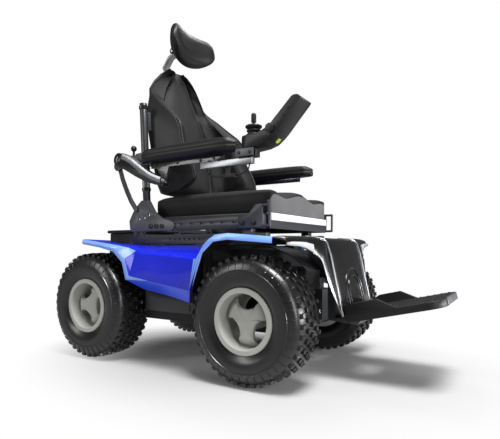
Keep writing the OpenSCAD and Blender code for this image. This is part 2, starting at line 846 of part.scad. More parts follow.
module headlights() {
    face = [for (i = [0:lamp_last]) let (st = fender_stations[i]) [for (j = [0:1])
        [nose_at(st[1][j].x) + soft_clear, -st[0] * fender_y, st[1][j].y * fender_z]]];
    color(white) placed() both_sides() sheet([for (r = face) [for (p = r) p + [lamp_t, 0, 0]]], face);
}

module front_shroud() {
    grid = [for (i = [0:shroud_steps]) let (u = 2 * i / shroud_steps - 1)
        [for (p = shroud_shares) [nose_at(p.x) + shroud_crown * (1 - u * u), u * shroud_half, p.y * fender_z]]];
    inner = [for (r = grid) [for (j = [0:len(r) - 1]) r[j] + (j < 4 ? [-panel_t, 0, 0] : [-panel_t, 0, -panel_t])]];
    color(black) placed() sheet(grid, inner);
}

module controller_box() {
    color(dark_grey) placed() slab([-box_rear, -box_half_w, frame_top], [-box_front, box_half_w, frame_top + box_h]);
}

module deck_lid() {
    color(black) placed() slab([-box_rear - lid_over, -box_half_w - lid_over, frame_top + box_h],
        [lid_over / 2 - box_front, box_half_w + lid_over, frame_top + box_h + lid_t]);
}

module base_rails() {
    y1 = base_w / 2;
    y0 = y1 - base_rail_w;
    color(dark_grey) placed() both_sides() {
        difference() {
            union() {
                slab([tilt_x - ear_w / 2, -y1, base_z], [seat_front - bracket_front, -y0, base_top]);
                plate(-y1, -y0) bar([tilt_x, base_z + ear_w / 2], [tilt_x, tilt_z], ear_w);
                slab([seat_front - bracket_rear, -y1, base_top], [seat_front - bracket_rear + rest_w, -y0, seat_low - soft_clear]);
            }
            rod_y(tilt_x, -y1 - cut, cut - y0, tilt_z, tilt_shaft_d + 2 * run_clear);
            for (k = [0:6]) rod_y(k * hole_step / 2 - hole_step, -y1 - cut, cut - y0, (base_z + base_top) / 2, hole_d);
        }
    }
}

module tilt_actuator() {
    color(black) placed() difference() {
        union() {
            rod_x(tube_x, tube_x + tube_l, 0, rod_z, tube_d);
            slab([tube_x + tube_l, -act_w / 2, rod_z - act_h / 2], [tube_x + tube_l + act_l, act_w / 2, rod_z + tube_d / 2]);
        }
        rod_x(tube_x - cut, tube_x + tube_l, 0, rod_z, rod_d + 2 * run_clear);
    }
}

module tilt_rod() {
    color(steel) placed() difference() {
        union() {
            rod_x(rod_eye_x, tube_x + tube_l - 2 * rod_eye_w, 0, rod_z, rod_d);
            for (s = [-1, 1]) rod_y(rod_eye_x, s * lever_t - rod_d / 4, s * lever_t + rod_d / 4, rod_z, rod_eye_w);
            slab([rod_eye_x + rod_eye_w / 2, -lever_t - rod_d / 4, rod_z - rod_d / 2],
                [rod_eye_x + rod_eye_w, lever_t + rod_d / 4, rod_z + rod_d / 2]);
            for (s = [-1, 1]) slab([rod_eye_x, s * lever_t - rod_d / 4, rod_z - rod_d / 2],
                [rod_eye_x + rod_eye_w, s * lever_t + rod_d / 4, rod_z + rod_d / 2]);
        }
        slab([rod_eye_x - rod_eye_w, rod_d / 4 - lever_t, rod_z - rod_eye_w], [rod_eye_x + rod_eye_w / 2 + cut, lever_t - rod_d / 4, rod_z + rod_eye_w]);
        rod_y(rod_eye_x, -2 * lever_t, 2 * lever_t, rod_z, pin_d + 2 * rod_slack);
    }
}

module tilt_shaft() {
    color(steel) placed() {
        rod_y(tilt_x, -plate_y, plate_y, tilt_z, tilt_shaft_d);
        plate(-lever_t / 2, lever_t / 2) bar([tilt_x, tilt_z], [rod_eye_x, rod_z], lever_w);
        rod_y(rod_eye_x, -lever_t - rod_d / 4, lever_t + rod_d / 4, rod_z, pin_d);
    }
}

module liner(from, turn, out_y) {
    translate([axle_x, -liner_in_y, axle_z]) rotate([90, 0, 0]) rotate([0, 0, from])
        rotate_extrude(angle = turn, $fn = 96) translate([liner_r, 0]) square([liner_t, out_y - liner_in_y]);
}

module arch_liners() {
    color(black) placed() both_sides() {
        liner(liner_from, liner_turn, liner_out_y);
        liner(liner_low, liner_low_turn, liner_low_y);
        slab([-axle_x - guard_plate_l / 4, -guard_plate_y, base_z - guard_plate_h],
            [guard_plate_l * 3 / 4 - axle_x, guard_plate_t - guard_plate_y, base_z]);
    }
}

module footplate_hanger() {
    leg = [foot_leg_x, belly_z + foot_leg_low];
    color(dark_grey) placed() difference() {
        plate(-tongue_half, tongue_half)
            path([[foot_leg_x, frame_top - tongue_w / 2], leg, [foot_x - foot_rear, leg.y], [foot_x, foot_z]],
                tongue_w * [1, 1, 1, 1]);
        rod_y(foot_x, -tongue_half - cut, tongue_half + cut, foot_z, foot_pin_d + 2 * run_clear);
    }
}

// Footplate, modelled level on its hinge and then sloped up to the front
module footplate() {
    half = foot_w / 2;
    color(black) placed() translate([foot_x, 0, foot_z]) rotate([0, -foot_slope, 0]) difference() {
        union() {
            translate([0, 0, -foot_drop - foot_t]) linear_extrude(foot_t) {
                polygon([[-foot_rear, -half], [foot_l - foot_round, -half], [foot_l, foot_round - half],
                    [foot_l, half - foot_round], [foot_l - foot_round, half], [-foot_rear, half]]);
                for (s = [-1, 1]) translate([foot_l - foot_round, s * (half - foot_round)]) circle(r = foot_round);
            }
            both_sides() plate(-half, guard_t - half) {
                polygon([[-foot_rear, -foot_drop - foot_t], [guard_l, -foot_drop - foot_t], [guard_l, -foot_drop],
                    [guard_l - guard_end, guard_h - foot_drop], [0, guard_h - foot_drop], [-foot_rear, guard_h / 2]]);
            }
            both_sides() slab([-foot_rear, guard_t - half, -foot_drop - cut], [-foot_rear + rib_t, -tongue_half - knuckle_w, guard_h / 2]);
            both_sides() rod_y(0, -tongue_half - knuckle_w, -tongue_half - pass_clear, 0, knuckle_d);
        }
        slab([-foot_rear - cut, -tongue_half - pass_clear, -foot_t - rib_drop], [notch_l, tongue_half + pass_clear, guard_h]);
    }
    color(steel) placed() rod_y(foot_x, -tongue_half - knuckle_w, tongue_half + knuckle_w, foot_z, foot_pin_d);
}

module seat_rails() {
    color(dark_grey) placed() both_sides() difference() {
        slab([seat_rear, -seat_rail_out, seat_low], [seat_front - bracket_front - side_gap, -seat_rail_y, seat_rail_top]);
        for (k = [0:5]) rod_y(seat_rear + hole_first + k * hole_step, -seat_rail_out - cut, cut - seat_rail_y,
            (seat_low + seat_rail_top) / 2, hole_d);
    }
}

module seat_pan() {
    color(black) placed() {
        slab([seat_rear, pan_in - seat_rail_out, seat_rail_top], [seat_front - trim_t, seat_rail_out - pan_in, cushion_z]);
        slab([seat_front - trim_t - apron_t, -seat_rail_y, seat_low], [seat_front - trim_t, seat_rail_y, seat_rail_top + cut]);
    }
}

module seat_front_trim() {
    low = cushion_z - trim_h;
    split = 2 * trim_half_w * trim_split_share - trim_half_w;
    color(white) placed() {
        slab([seat_front - trim_t, -trim_half_w, low], [seat_front, split - trim_gap / 2, cushion_z]);
        slab([seat_front - trim_t, split + trim_gap / 2, low], [seat_front, trim_half_w, cushion_z]);
    }
}

// Height of the cushion top over its base, u along the seat from its rear, v across it
function cushion_top(u, v) = cushion_h + cushion_front_rise * u + cushion_crown * (1 - v * v) * sin(180 * u)
    - trough_depth * pow(u, 3) * pow(sin(min(180, 180 * abs(v) / (2 * trough_share))), 2);

module seat_cushion() {
    n = cushion_y_steps;
    rings = [for (i = [0:cushion_x_steps]) let (u = i / cushion_x_steps,
        half = seat_w / 2 - cushion_draw * sin(180 * u))
        concat([[-half + cushion_edge_r / 2, 0], [half - cushion_edge_r / 2, 0], [half, cushion_h / 2]],
            [for (k = [0:n]) let (v = 1 - 2 * k / n)
                [v * (half - cushion_edge_r / 3), cushion_top(u, v) - cushion_edge_r * pow(abs(v), 12)]],
            [[-half, cushion_h / 2]])];
    color(soft_black) placed() loft([for (i = [0:cushion_x_steps])
        [for (p = rings[i]) [seat_rear + seat_d * i / cushion_x_steps, p.x, cushion_z + soft_clear + p.y]]]);
}

module back_plates() {
    color(dark_grey) placed() both_sides() {
        difference() {
            plate(-plate_out, -plate_y) {
                polygon([for (p = plate_shares) [tilt_x + p.x * plate_l, tilt_z + p.y * plate_h]]);
                translate([tilt_x + plate_l, tilt_z + plate_bolt_rise_share * plate_h]) circle(d = plate_lobe_d);
            }
            for (p = plate_hole_shares) rod_y(tilt_x + p.x * plate_l, -plate_out - cut, cut - plate_y,
                tilt_z + p.y * plate_h, hole_d * 1.5);
        }
        rod_y(back_x, -plate_y - cut, cane_d * 0.8 - plate_y, back_z, pin_d);
        rod_y(link_x, -link_out, -plate_y - cut, link_z, link_pin_d);
    }
}

module seat_bolts() {
    z = tilt_z + plate_bolt_rise_share * plate_h;
    color(black) placed() both_sides() {
        for (s = plate_bolt_shares) rod_y(tilt_x + s * plate_l, -plate_out - bolt_h, -plate_out, z, bolt_d);
        for (x = [seat_front - bracket_rear + bolt_d, seat_front - bracket_front - 2 * bolt_d])
            rod_y(x, -plate_out - bolt_h, -plate_out, seat_low + bracket_low + bolt_d, bolt_d);
    }
}

module transit_brackets() {
    x0 = seat_front - bracket_rear;
    x1 = seat_front - bracket_front;
    low = seat_low + bracket_low;
    y = -plate_y - plate_t / 2;
    top = low + bracket_top;
    loop_low = low + loop_d / 2;
    color(dark_grey) placed() both_sides() {
        plate(-plate_out, -plate_y) {
            polygon([[x0, low], [x1, low], [x1, top], [x1 - bracket_round, top],
                [x1 - 2 * bracket_round, low + seat_rail_h], [x0, low + seat_rail_h - pan_t]]);
        }
        for (z = [loop_low, loop_low + loop_h]) rod_x(x1, x1 + loop_reach, y, z, loop_d);
        rod_z(x1 + loop_reach, y, loop_low, loop_low + loop_h, loop_d);
        for (z = [loop_low, loop_low + loop_h]) translate([x1 + loop_reach, y, z]) sphere(d = loop_d);
    }
}

module on_cane(rise) {
    translate([back_x, -cane_y, back_z]) rotate([0, -cane_lean, 0]) translate([0, 0, rise]) children();
}

module back_canes() {
    color(silver) placed() both_sides() difference() {
        on_cane(-cane_d / 2) cylinder(d = cane_d, h = cane_l + cane_d / 2);
        rod_y(back_x, -plate_y - cut, cut - cane_y + cane_d / 2, back_z, pin_d + 2 * run_clear);
    }
}

// Clamp on each cane with the arm pivot behind it, and the tab that holds the back shell
module cane_clamps() {
    rise = arm_z - back_z;
    tab_t = (back_z + tab_rise - back_low) / (back_h - back_low + back_z);
    color(dark_grey) placed() both_sides() difference() {
        union() {
            on_cane(rise) translate([-clamp_w / 2, cane_y - plate_out + side_gap, -clamp_h / 2])
                cube([clamp_w, plate_out - side_gap - clamp_in, clamp_h]);
            plate(-plate_out, clamp_bar_t - plate_out) {
                translate([arm_x, arm_z]) circle(d = clamp_bar_w);
                translate([arm_x, arm_z - clamp_bar_w / 2]) square([back_x - cane_d - arm_x, clamp_bar_w]);
            }
            rod_y(arm_x, -arm_out, -plate_out + cut, arm_z, arm_pin_d);
            on_cane(tab_rise) translate([-tab_w / 2, cane_d / 4, 0])
                cube([tab_w, cane_y - cane_d / 4 - back_w(tab_t) - soft_clear, tab_h]);
        }
        on_cane(-cane_d) cylinder(d = cane_d + soft_clear, h = cane_l + 2 * cane_d);
        rod_z(arm_x + knob_back, clamp_bar_t / 2 - plate_out, arm_z - clamp_bar_w, arm_z + clamp_bar_w, knob_stem_d + 2 * run_clear);
    }
}

module release_knob() {
    top = arm_z + clamp_bar_w / 2 + knob_stem_l;
    y = clamp_bar_t / 2 - plate_out;
    color(black) {
        rod_z(arm_x + knob_back, y, arm_z, top, knob_stem_d);
        translate([arm_x + knob_back, y, top]) sphere(d = knob_d);
    }
}

module release_knob_right() {
    placed() release_knob();
}

module release_knob_left() {
    placed() on_left() release_knob();
}

// Section of the back at a height share: half width, rear x and wing front x
function back_w(t) = back_half_w * lookup(t, back_w_table);
function back_rear(t) = back_x + back_h * lookup(t, back_rear_share_table);
function back_wing(t) = back_x + back_h * lookup(t, back_wing_share_table);

// Point on the bucket, s from -1 to 1 round the sitter, set in from the outer face
function back_point(t, s, inset, trim) = let (
    w = back_w(t) - inset,
    rear = back_rear(t) + inset,
    front = max(back_wing(t) - trim, rear + back_bend / 2),
    bend = min(back_bend, front - rear),
    a = abs(s) / back_arc_share,
    k = max(0, (abs(s) - back_arc_share) / (1 - back_arc_share)))
    [a < 1 ? rear + bend * (1 - cos(90 * a)) : rear + bend + k * (front - rear - bend),
        sign(s) * w * (a < 1 ? sin(90 * a) : 1), back_low + (back_h - back_low + back_z) * t];

function back_grid(inset, trim) = [for (i = [0:back_steps])
    [for (j = [0:back_around]) back_point(i / back_steps, 2 * j / back_around - 1, inset, trim)]];

// Thickness of the back cushion, with sewn lines beside the centre panel
function back_fill(t, s) = back_pad_t * (1 - back_thin_share * pow(t, 8)) * (0.72 + 0.28 * sin(180 * min(1, max(0, t * 0.9 + 0.08))))
    * (abs(s) > 0.9 ? 0.8 : 1) - seam_depth * exp(-pow((abs(s) - panel_share) / 0.05, 2))
    + back_bulge * max(0, 1 - pow(s / panel_share, 4)) * (1 - pow(t, 6)) * min(1, t * back_steps / 2);

module back_shell() {
    low = back_low + (back_h - back_low + back_z) * socket_low_share;
    color(black) placed() {
        sheet(back_grid(0, 0), back_grid(shell_t, 0));
        difference() {
            slab([stem_x - socket_t / 2, -socket_w / 2, low], [stem_x + socket_t / 2, socket_w / 2, low + socket_h]);
            slab([stem_x - stem_t / 2 - soft_clear, -stem_w / 2 - soft_clear, low - cut],
                [stem_x + stem_t / 2 + soft_clear, stem_w / 2 + soft_clear, low + socket_h + cut]);
        }
    }
}

module back_cushion() {
    gap = shell_t + soft_clear;
    outer = back_grid(gap, 0);
    inner = [for (i = [0:back_steps]) [for (j = [0:back_around])
        let (t = i / back_steps, s = 2 * j / back_around - 1)
        back_point(t, s, gap + back_fill(t, s), 0)]];
    color(soft_black) placed() sheet(outer, inner);
}

module headrest_stem() {
    z1 = stem_low + stem_rise;
    z2 = z1 + stem_back_rise;
    z3 = z2 + stem_fwd_rise;
    color(silver) placed() {
        plate(-stem_w / 2, stem_w / 2) {
            path([[stem_x, stem_low], [stem_x, z1], [stem_x - stem_back, z2],
                [stem_x - stem_back + stem_fwd, z3], [head_x, head_z]], stem_t * [1, 1, 1, 1, 1]);
        }
        rod_y(head_x, -stem_w / 2, stem_w / 2, head_z, head_eye_d * 0.7);
        rod_y(head_x, -stem_w, stem_w, head_z, head_pin_d);
    }
}

module headrest_pad() {
    cx = head_x + head_gap + head_t / 2;
    color(soft_black) placed() {
        loft([for (i = [0:head_steps]) let (s = 2 * i / head_steps - 1, k = max(0.16, sqrt(1 - pow(abs(s), 6))))
            [for (j = [0:head_around - 1]) let (a = 360 * j / head_around)
                [cx + head_wing * s * s + head_t / 2 * k * power(sin(a), 0.8), s * head_w / 2,
                    head_z + head_h / 2 * k * power(cos(a), 0.7) * (cos(a) < 0 ? 1 - head_draw_share * s * s : 1)]]]);
        both_sides() difference() {
            plate(-stem_w, -stem_w / 2 - pass_clear) bar([head_x, head_z], [head_x + head_gap - head_eye_d / 2 + head_seat, head_z], head_eye_d);
            rod_y(head_x, -stem_w - cut, 0, head_z, head_pin_d + 2 * run_clear);
        }
    }
}

// Curved arm with its strut and the plate under the pad
module arm() {
    pts = [for (p = arm_shares) [arm_x + p.x * arm_run, arm_z - p.y * arm_drop]];
    plate_top = pad_low - soft_clear;
    plate_low = plate_top - arm_plate_h;
    foot = pts[len(pts) - 1];
    color(dark_grey) {
        difference() {
            plate(-arm_out, -arm_in) path(pts, [for (p = arm_shares) p.z * arm_root_w]);
            rod_y(arm_x, -arm_out - cut, cut - arm_in, arm_z, arm_pin_d + 2 * run_clear);
        }
        plate(-arm_in - arm_plate_t, -arm_in) {
            polygon([foot, [foot.x + strut_lean, plate_top], [foot.x - strut_w, plate_top]]);
            polygon([[pad_rear + arm_plate_rear, plate_low], [pad_rear + pad_l - arm_plate_front, plate_low],
                [pad_rear + pad_l - arm_plate_front, plate_top], [pad_rear + arm_plate_rear, plate_top]]);
        }
    }
}

module arm_right() {
    plate_low = pad_low - soft_clear - arm_plate_h;
    placed() {
        arm();
        color(dark_grey) {
            slab([swing_rear - mount_w / 2, -arm_in - arm_plate_t, swing_top + side_gap], [swing_rear + mount_w / 2, -arm_in, plate_low + cut]);
            slab([swing_rear - mount_w / 2, -swing_y - swing_w / 2, swing_top + side_gap],
                [swing_rear + mount_w / 2, -arm_in, swing_top + side_gap + mount_t]);
            rod_z(swing_rear, -swing_y, swing_top - swing_h, swing_top + side_gap + cut, swing_pin_d);
        }
    }
}

module arm_left() {
    placed() on_left() arm();
}

module arm_pad() {
    steps = 14;
    around = 20;
    color(soft_black) loft([for (i = [0:steps]) let (u = i / steps, e = max(0.3, sqrt(1 - pow(abs(2 * u - 1), 10))))
        [for (j = [0:around - 1]) let (a = 360 * j / around + 180 / around)
            [pad_rear + pad_l * u, pad_w / 2 * e * power(cos(a), 0.6) - pad_y,
                pad_low + pad_h / 2 * (1 + power(sin(a), 0.6) * (sin(a) < 0 ? 1 : e))]]]);
}

module arm_pad_right() {
    placed() arm_pad();
}

module arm_pad_left() {
    placed() on_left() arm_pad();
}

module arm_carrier() {
    color(dark_grey) {
        difference() {
            plate(-carrier_out, -carrier_in) bar([arm_x, arm_z], [carry_x, carry_z], clamp_bar_w);
            rod_y(arm_x, -carrier_out - cut, cut - carrier_in, arm_z, arm_pin_d + 2 * run_clear);
        }
        rod_y(carry_x, -carrier_in - cut, -link_in, carry_z, link_pin_d);
    }
}

module arm_carrier_right() {
    placed() arm_carrier();
}

module arm_carrier_left() {
    placed() on_left() arm_carrier();
}

module arm_link() {
    pts = [for (p = link_bow_shares) [link_x + p.x * (carry_x - link_x), link_z + p.y * (carry_z - link_z)]];
    color(dark_grey) difference() {
        plate(-link_out, -link_in) path(pts, [for (p = pts) link_w]);
        rod_y(link_x, -link_out - cut, cut - link_in, link_z, link_pin_d + 2 * run_clear);
        rod_y(carry_x, -link_out - cut, cut - link_in, carry_z, link_pin_d + 2 * soft_clear);
    }
}

module arm_link_right() {
    placed() arm_link();
}

module arm_link_left() {
    placed() on_left() arm_link();
}

module swing_arm() {
    low = swing_top - swing_h;
    box_x = swing_rear + link_box_at;
    color(silver) placed() {
        difference() {
            slab([swing_rear - swing_end, -swing_y - swing_w / 2, low], [pod_x + swing_end, swing_w / 2 - swing_y, swing_top]);
            for (x = [swing_rear, pod_x]) rod_z(x, -swing_y, low - cut, swing_top + cut, swing_pin_d + 2 * run_clear);
        }
        slab([box_x, -swing_y - link_box_w / 2, low - link_box_drop - link_box_h], [box_x + link_box_l, link_box_w / 2 - swing_y, low - link_box_drop]);
        slab([box_x + hook_w / 2, -swing_y - hook_t / 2, low - link_box_drop - cut], [box_x + 1.5 * hook_w, hook_t / 2 - swing_y, low + cut]);
    }
    color(black) placed() {
        tube(cable_rear, cable_d, cable_sides);
        tube(cable_front, cable_d, cable_sides);
    }
}

module joystick_housing() {
    color(black) placed() {
        difference() {
            intersection() {
                plate(-stick_y - pod_w / 2, pod_w / 2 - stick_y)
                    polygon([for (p = pod_shares) [pod_rear + p.x * pod_l, pod_z + p.y * pod_h]]);
                union() {
                    rod_z(stick_x, -stick_y, pod_z - cut, pod_z + pod_h, pod_w);
                    slab([stick_x, -stick_y - pod_w / 2, pod_z - cut], [pod_rear + pod_l + cut, pod_w / 2 - stick_y, pod_z + pod_h + cut]);
                }
            }
            rod_z(stick_x, -stick_y, pod_z + well_low, pod_z + pod_h, well_d);
            rod_y(stick_x, -stick_y - well_d / 2 - gimbal_pin_l, well_d / 2 + gimbal_pin_l - stick_y, gimbal_z, gimbal_pin_d + 2 * run_clear);
            rod_y(pod_rear + dial_x_share * pod_l, -stick_y - pod_w / 2 - cut, dial_stub_l + cut - stick_y - pod_w / 2,
                pod_z + dial_z_share * pod_h, dial_stub_d + 2 * run_clear);
        }
        plate(-swing_y - swing_w / 2, swing_w - swing_y) polygon([[pod_x - bracket_back, pod_z],
            [pod_x - bracket_back + bracket_l, pod_z], [pod_x - bracket_back + bracket_l, pod_z + bracket_h * 0.62],
            [pod_x - bracket_back, pod_z + bracket_h]]);
        rod_z(pod_x, -swing_y, pod_z - side_gap - swing_h, pod_z + cut, swing_pin_d);
    }
}

module joystick_screen() {
    p = pod_shares[14];
    q = pod_shares[13];
    a = [pod_rear + p.x * pod_l, pod_z + p.y * pod_h];
    b = [pod_rear + q.x * pod_l, pod_z + q.y * pod_h];
    slope = atan2(b.y - a.y, b.x - a.x);
    color("#0c0f14") placed() translate([a.x, -stick_y, a.y]) rotate([0, -slope, 0])
        translate([norm(b - a) * screen_at_share, screen_edge - pod_w / 2, 0]) cube([norm(b - a) * (1 - 2 * screen_at_share), pod_w - 2 * screen_edge, screen_t]);
}

module joystick_gimbal() {
    color(steel) placed() difference() {
        union() {
            rod_z(stick_x, -stick_y, gimbal_z - gimbal_h / 2, gimbal_z + gimbal_h / 2, gimbal_d);
            rod_y(stick_x, -stick_y - well_d / 2 - gimbal_pin_l, well_d / 2 + gimbal_pin_l - stick_y, gimbal_z, gimbal_pin_d);
        }
        rod_z(stick_x, -stick_y, gimbal_z - gimbal_h, gimbal_z + gimbal_h, gimbal_hole);
        rod_x(stick_x - gimbal_d, stick_x + gimbal_d, -stick_y, gimbal_z, gimbal_pin_d + 2 * run_clear);
    }
}

module joystick_boot() {
    z0 = gimbal_z + boot_low;
    rings = len(boot_ring_shares);
    step = boot_h / rings;
    outline = concat([[boot_neck / 2, 0]], [for (k = [0:rings - 1]) let (r = boot_d * boot_ring_shares[k] / 2)
        each [[r - boot_wall, k * step], [r, k * step + step * 0.3], [r, k * step + step * 0.6],
            [r - boot_wall, k * step + step * 0.8]]], [[boot_neck / 2, boot_h]]);
    color(black) placed() translate([stick_x, -stick_y, z0]) rotate_extrude() polygon(outline);
}

module joystick_stick() {
    top = gimbal_z + stick_l;
    color(black) placed() {
        rod_z(stick_x, -stick_y, gimbal_z - gimbal_h / 2, top - knob_top_l + cut, stick_d);
        rod_x(stick_x - gimbal_d / 2, stick_x + gimbal_d / 2, -stick_y, gimbal_z, gimbal_pin_d);
        rod_z(stick_x, -stick_y, top - knob_top_l, top - knob_top_d / 2, knob_top_d);
        translate([stick_x, -stick_y, top - knob_top_d / 2]) sphere(d = knob_top_d);
    }
}

module speed_dial() {
    x = pod_rear + dial_x_share * pod_l;
    z = pod_z + dial_z_share * pod_h;
    y = -stick_y - pod_w / 2;
    color(black) placed() {
        rod_y(x, y - dial_t - soft_clear, y - soft_clear, z, dial_d);
        rod_y(x, y - soft_clear - cut, y + dial_stub_l, z, dial_stub_d);
    }
}

chassis_frame();
batteries();
battery_tray();
side_body_right();
side_body_left();
sill_plates();
front_fender_right();
front_fender_left();
headlights();
front_shroud();
controller_box();
deck_lid();
base_rails();
rear_motors();
footplate_hanger();
arch_liners();
tilt_actuator();
front_axle_beam();
front_motors();
at_wheel(true, true) tyre();  // tyre_front_right
at_wheel(true, false) tyre();  // tyre_front_left
at_wheel(false, true) tyre();  // tyre_rear_right
at_wheel(false, false) tyre();  // tyre_rear_left
at_wheel(true, true) rim(90);  // rim_front_right
at_wheel(true, false) rim(90);  // rim_front_left
at_wheel(false, true) rim(0);  // rim_rear_right
at_wheel(false, false) rim(0);  // rim_rear_left
footplate();
seat_rails();
seat_pan();
seat_front_trim();
seat_cushion();
back_plates();
tilt_shaft();
transit_brackets();
seat_bolts();
tilt_rod();
back_canes();
back_shell();
back_cushion();
cane_clamps();
headrest_stem();
headrest_pad();
arm_right();
arm_left();
arm_pad_right();
arm_pad_left();
arm_carrier_right();
arm_carrier_left();
arm_link_right();
arm_link_left();
release_knob_right();
release_knob_left();
swing_arm();
joystick_housing();
joystick_screen();
joystick_gimbal();
joystick_boot();
joystick_stick();
speed_dial();
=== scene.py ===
# %% [markdown]
# An all terrain powered wheelchair: four knobbly tyres, a blue lacquered body, and a
# padded seat that tilts and reclines, with a joystick. The solids come from the CAD frame.
# This script gives them finishes and models what CAD leaves plain.

# %% Load the frame and keep its size
import json
import math

import bpy
from mathutils import Matrix, Vector


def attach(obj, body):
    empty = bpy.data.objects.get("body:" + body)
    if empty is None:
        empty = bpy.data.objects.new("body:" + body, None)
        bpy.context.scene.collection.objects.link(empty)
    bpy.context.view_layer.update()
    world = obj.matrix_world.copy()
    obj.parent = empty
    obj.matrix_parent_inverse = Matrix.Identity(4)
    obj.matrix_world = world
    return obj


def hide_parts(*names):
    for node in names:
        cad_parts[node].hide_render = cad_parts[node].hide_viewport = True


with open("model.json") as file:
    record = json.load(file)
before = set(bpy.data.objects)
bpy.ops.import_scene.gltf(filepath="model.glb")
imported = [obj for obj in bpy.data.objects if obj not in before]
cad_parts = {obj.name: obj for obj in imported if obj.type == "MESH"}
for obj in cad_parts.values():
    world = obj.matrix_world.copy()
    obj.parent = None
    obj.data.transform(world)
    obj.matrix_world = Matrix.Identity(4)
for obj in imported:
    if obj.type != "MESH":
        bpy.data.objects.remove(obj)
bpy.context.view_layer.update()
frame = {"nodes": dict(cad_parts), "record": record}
NODES = frame["nodes"]
SCENE = bpy.context.scene

# %% [markdown]
# The camera stands low beside the right front corner, level with the tyre tops. A level
# camera keeps upright lines upright, so the picture is moved up with lens shift and not
# by tilting. Its focal length and place were solved from the wheels and the seat rails.

# %% Camera
camera_data = bpy.data.cameras.new("camera")
camera_data.sensor_width = 36.0
camera_data.lens = 31.87
camera_data.shift_y = 0.0568
camera_data.clip_end = 100.0
camera = bpy.data.objects.new("camera", camera_data)
camera.location = (0.8001, -1.3002, 0.3716)
camera.rotation_euler = (math.radians(90), 0, math.radians(31.833))
SCENE.collection.objects.link(camera)
SCENE.camera = camera
SCENE.view_settings.view_transform = "Standard"
SCENE.view_settings.look = "None"

# %% [markdown]
# A white studio: a pale floor that keeps the chair's shadow, and softboxes that leave
# bright streaks on black plastic. What the gloss mirrors is dimmer than the white
# backdrop that the camera sees, or every black part would look grey.

# %% Colour and node helpers
def linear(code):
    """An sRGB hex colour as linear red, green, blue, alpha."""
    parts = [int(code[i:i + 2], 16) / 255 for i in (1, 3, 5)]
    return tuple(p / 12.92 if p <= 0.04045 else ((p + 0.055) / 1.055) ** 2.4 for p in parts) + (1.0,)


def add(tree, kind, links=None, inputs=None, **settings):
    """Adds a node with its settings, its input values and its links from other nodes' sockets."""
    made = tree.nodes.new("ShaderNode" + kind)
    for key, value in settings.items():
        setattr(made, key, value)
    for key, value in (inputs or {}).items():
        made.inputs[key].default_value = value
    for key, socket in (links or {}).items():
        tree.links.new(socket, made.inputs[key])
    return made


# %% World and lamps
world = bpy.data.worlds.new("white studio")
world.use_nodes = True
SCENE.world = world
sky = world.node_tree
sky.nodes.clear()
ray = add(sky, "LightPath")
lit = add(sky, "Background", inputs={"Color": linear("#ffffff"), "Strength": 0.09})
mirrored = add(sky, "Background", inputs={"Color": linear("#ffffff"), "Strength": 0.1})
shown = add(sky, "Background", inputs={"Color": linear("#ffffff"), "Strength": 1.0})
clear = add(sky, "Math", {0: ray.outputs["Is Camera Ray"], 1: ray.outputs["Is Transmission Ray"]},
    operation="MAXIMUM")
either = add(sky, "MixShader", {0: ray.outputs["Is Glossy Ray"], 1: lit.outputs[0], 2: mirrored.outputs[0]})
both = add(sky, "MixShader", {0: clear.outputs[0], 1: either.outputs[0], 2: shown.outputs[0]})
add(sky, "OutputWorld", {"Surface": both.outputs[0]})


def lamp(name, place, target, width, length, power):
    """A softbox of a width and length at a place, aimed at a target."""
    data = bpy.data.lights.new(name, "AREA")
    data.shape = "RECTANGLE"
    data.size = width
    data.size_y = length
    data.energy = power
    made = bpy.data.objects.new(name, data)
    made.location = place
    made.rotation_euler = (Vector(target) - Vector(place)).to_track_quat("-Z", "Y").to_euler()
    SCENE.collection.objects.link(made)


LAMPS = [
    ("top softbox", (0.9, -0.65, 2.7), (0.1, 0.0, 0.4), 0.9, 0.9, 118),
    ("back softbox", (-0.4, 1.2, 2.4), (0.0, 0.0, 0.4), 0.8, 0.8, 13),
    ("front strip", (2.0, -1.3, 0.8), (0.2, -0.2, 0.3), 0.3, 1.2, 13),
    ("nose strip", (2.2, 0.55, 0.35), (0.3, -0.1, 0.25), 1.5, 0.25, 44),
    ("side strip", (-1.5, -2.2, 1.5), (-0.1, 0.0, 0.4), 0.6, 1.6, 20),
]
for row in LAMPS:
    lamp(*row)

# %% [markdown]
# Real surfaces are never one flat colour: moulded plastic has a fine grain, rubber is
# dusty in places, paint has a faint orange peel. One function gives each material two
# near colours, a broken gloss and a bump whose pitch is that of the real grain.

# %% Materials
def bare(name):
    """A new material with its tree, shader and Object coordinates."""
    made = bpy.data.materials.new(name)
    made.use_nodes = True
    tree = made.node_tree
    shader = tree.nodes["Principled BSDF"]
    return made, tree, shader, add(tree, "TexCoord").outputs["Object"]


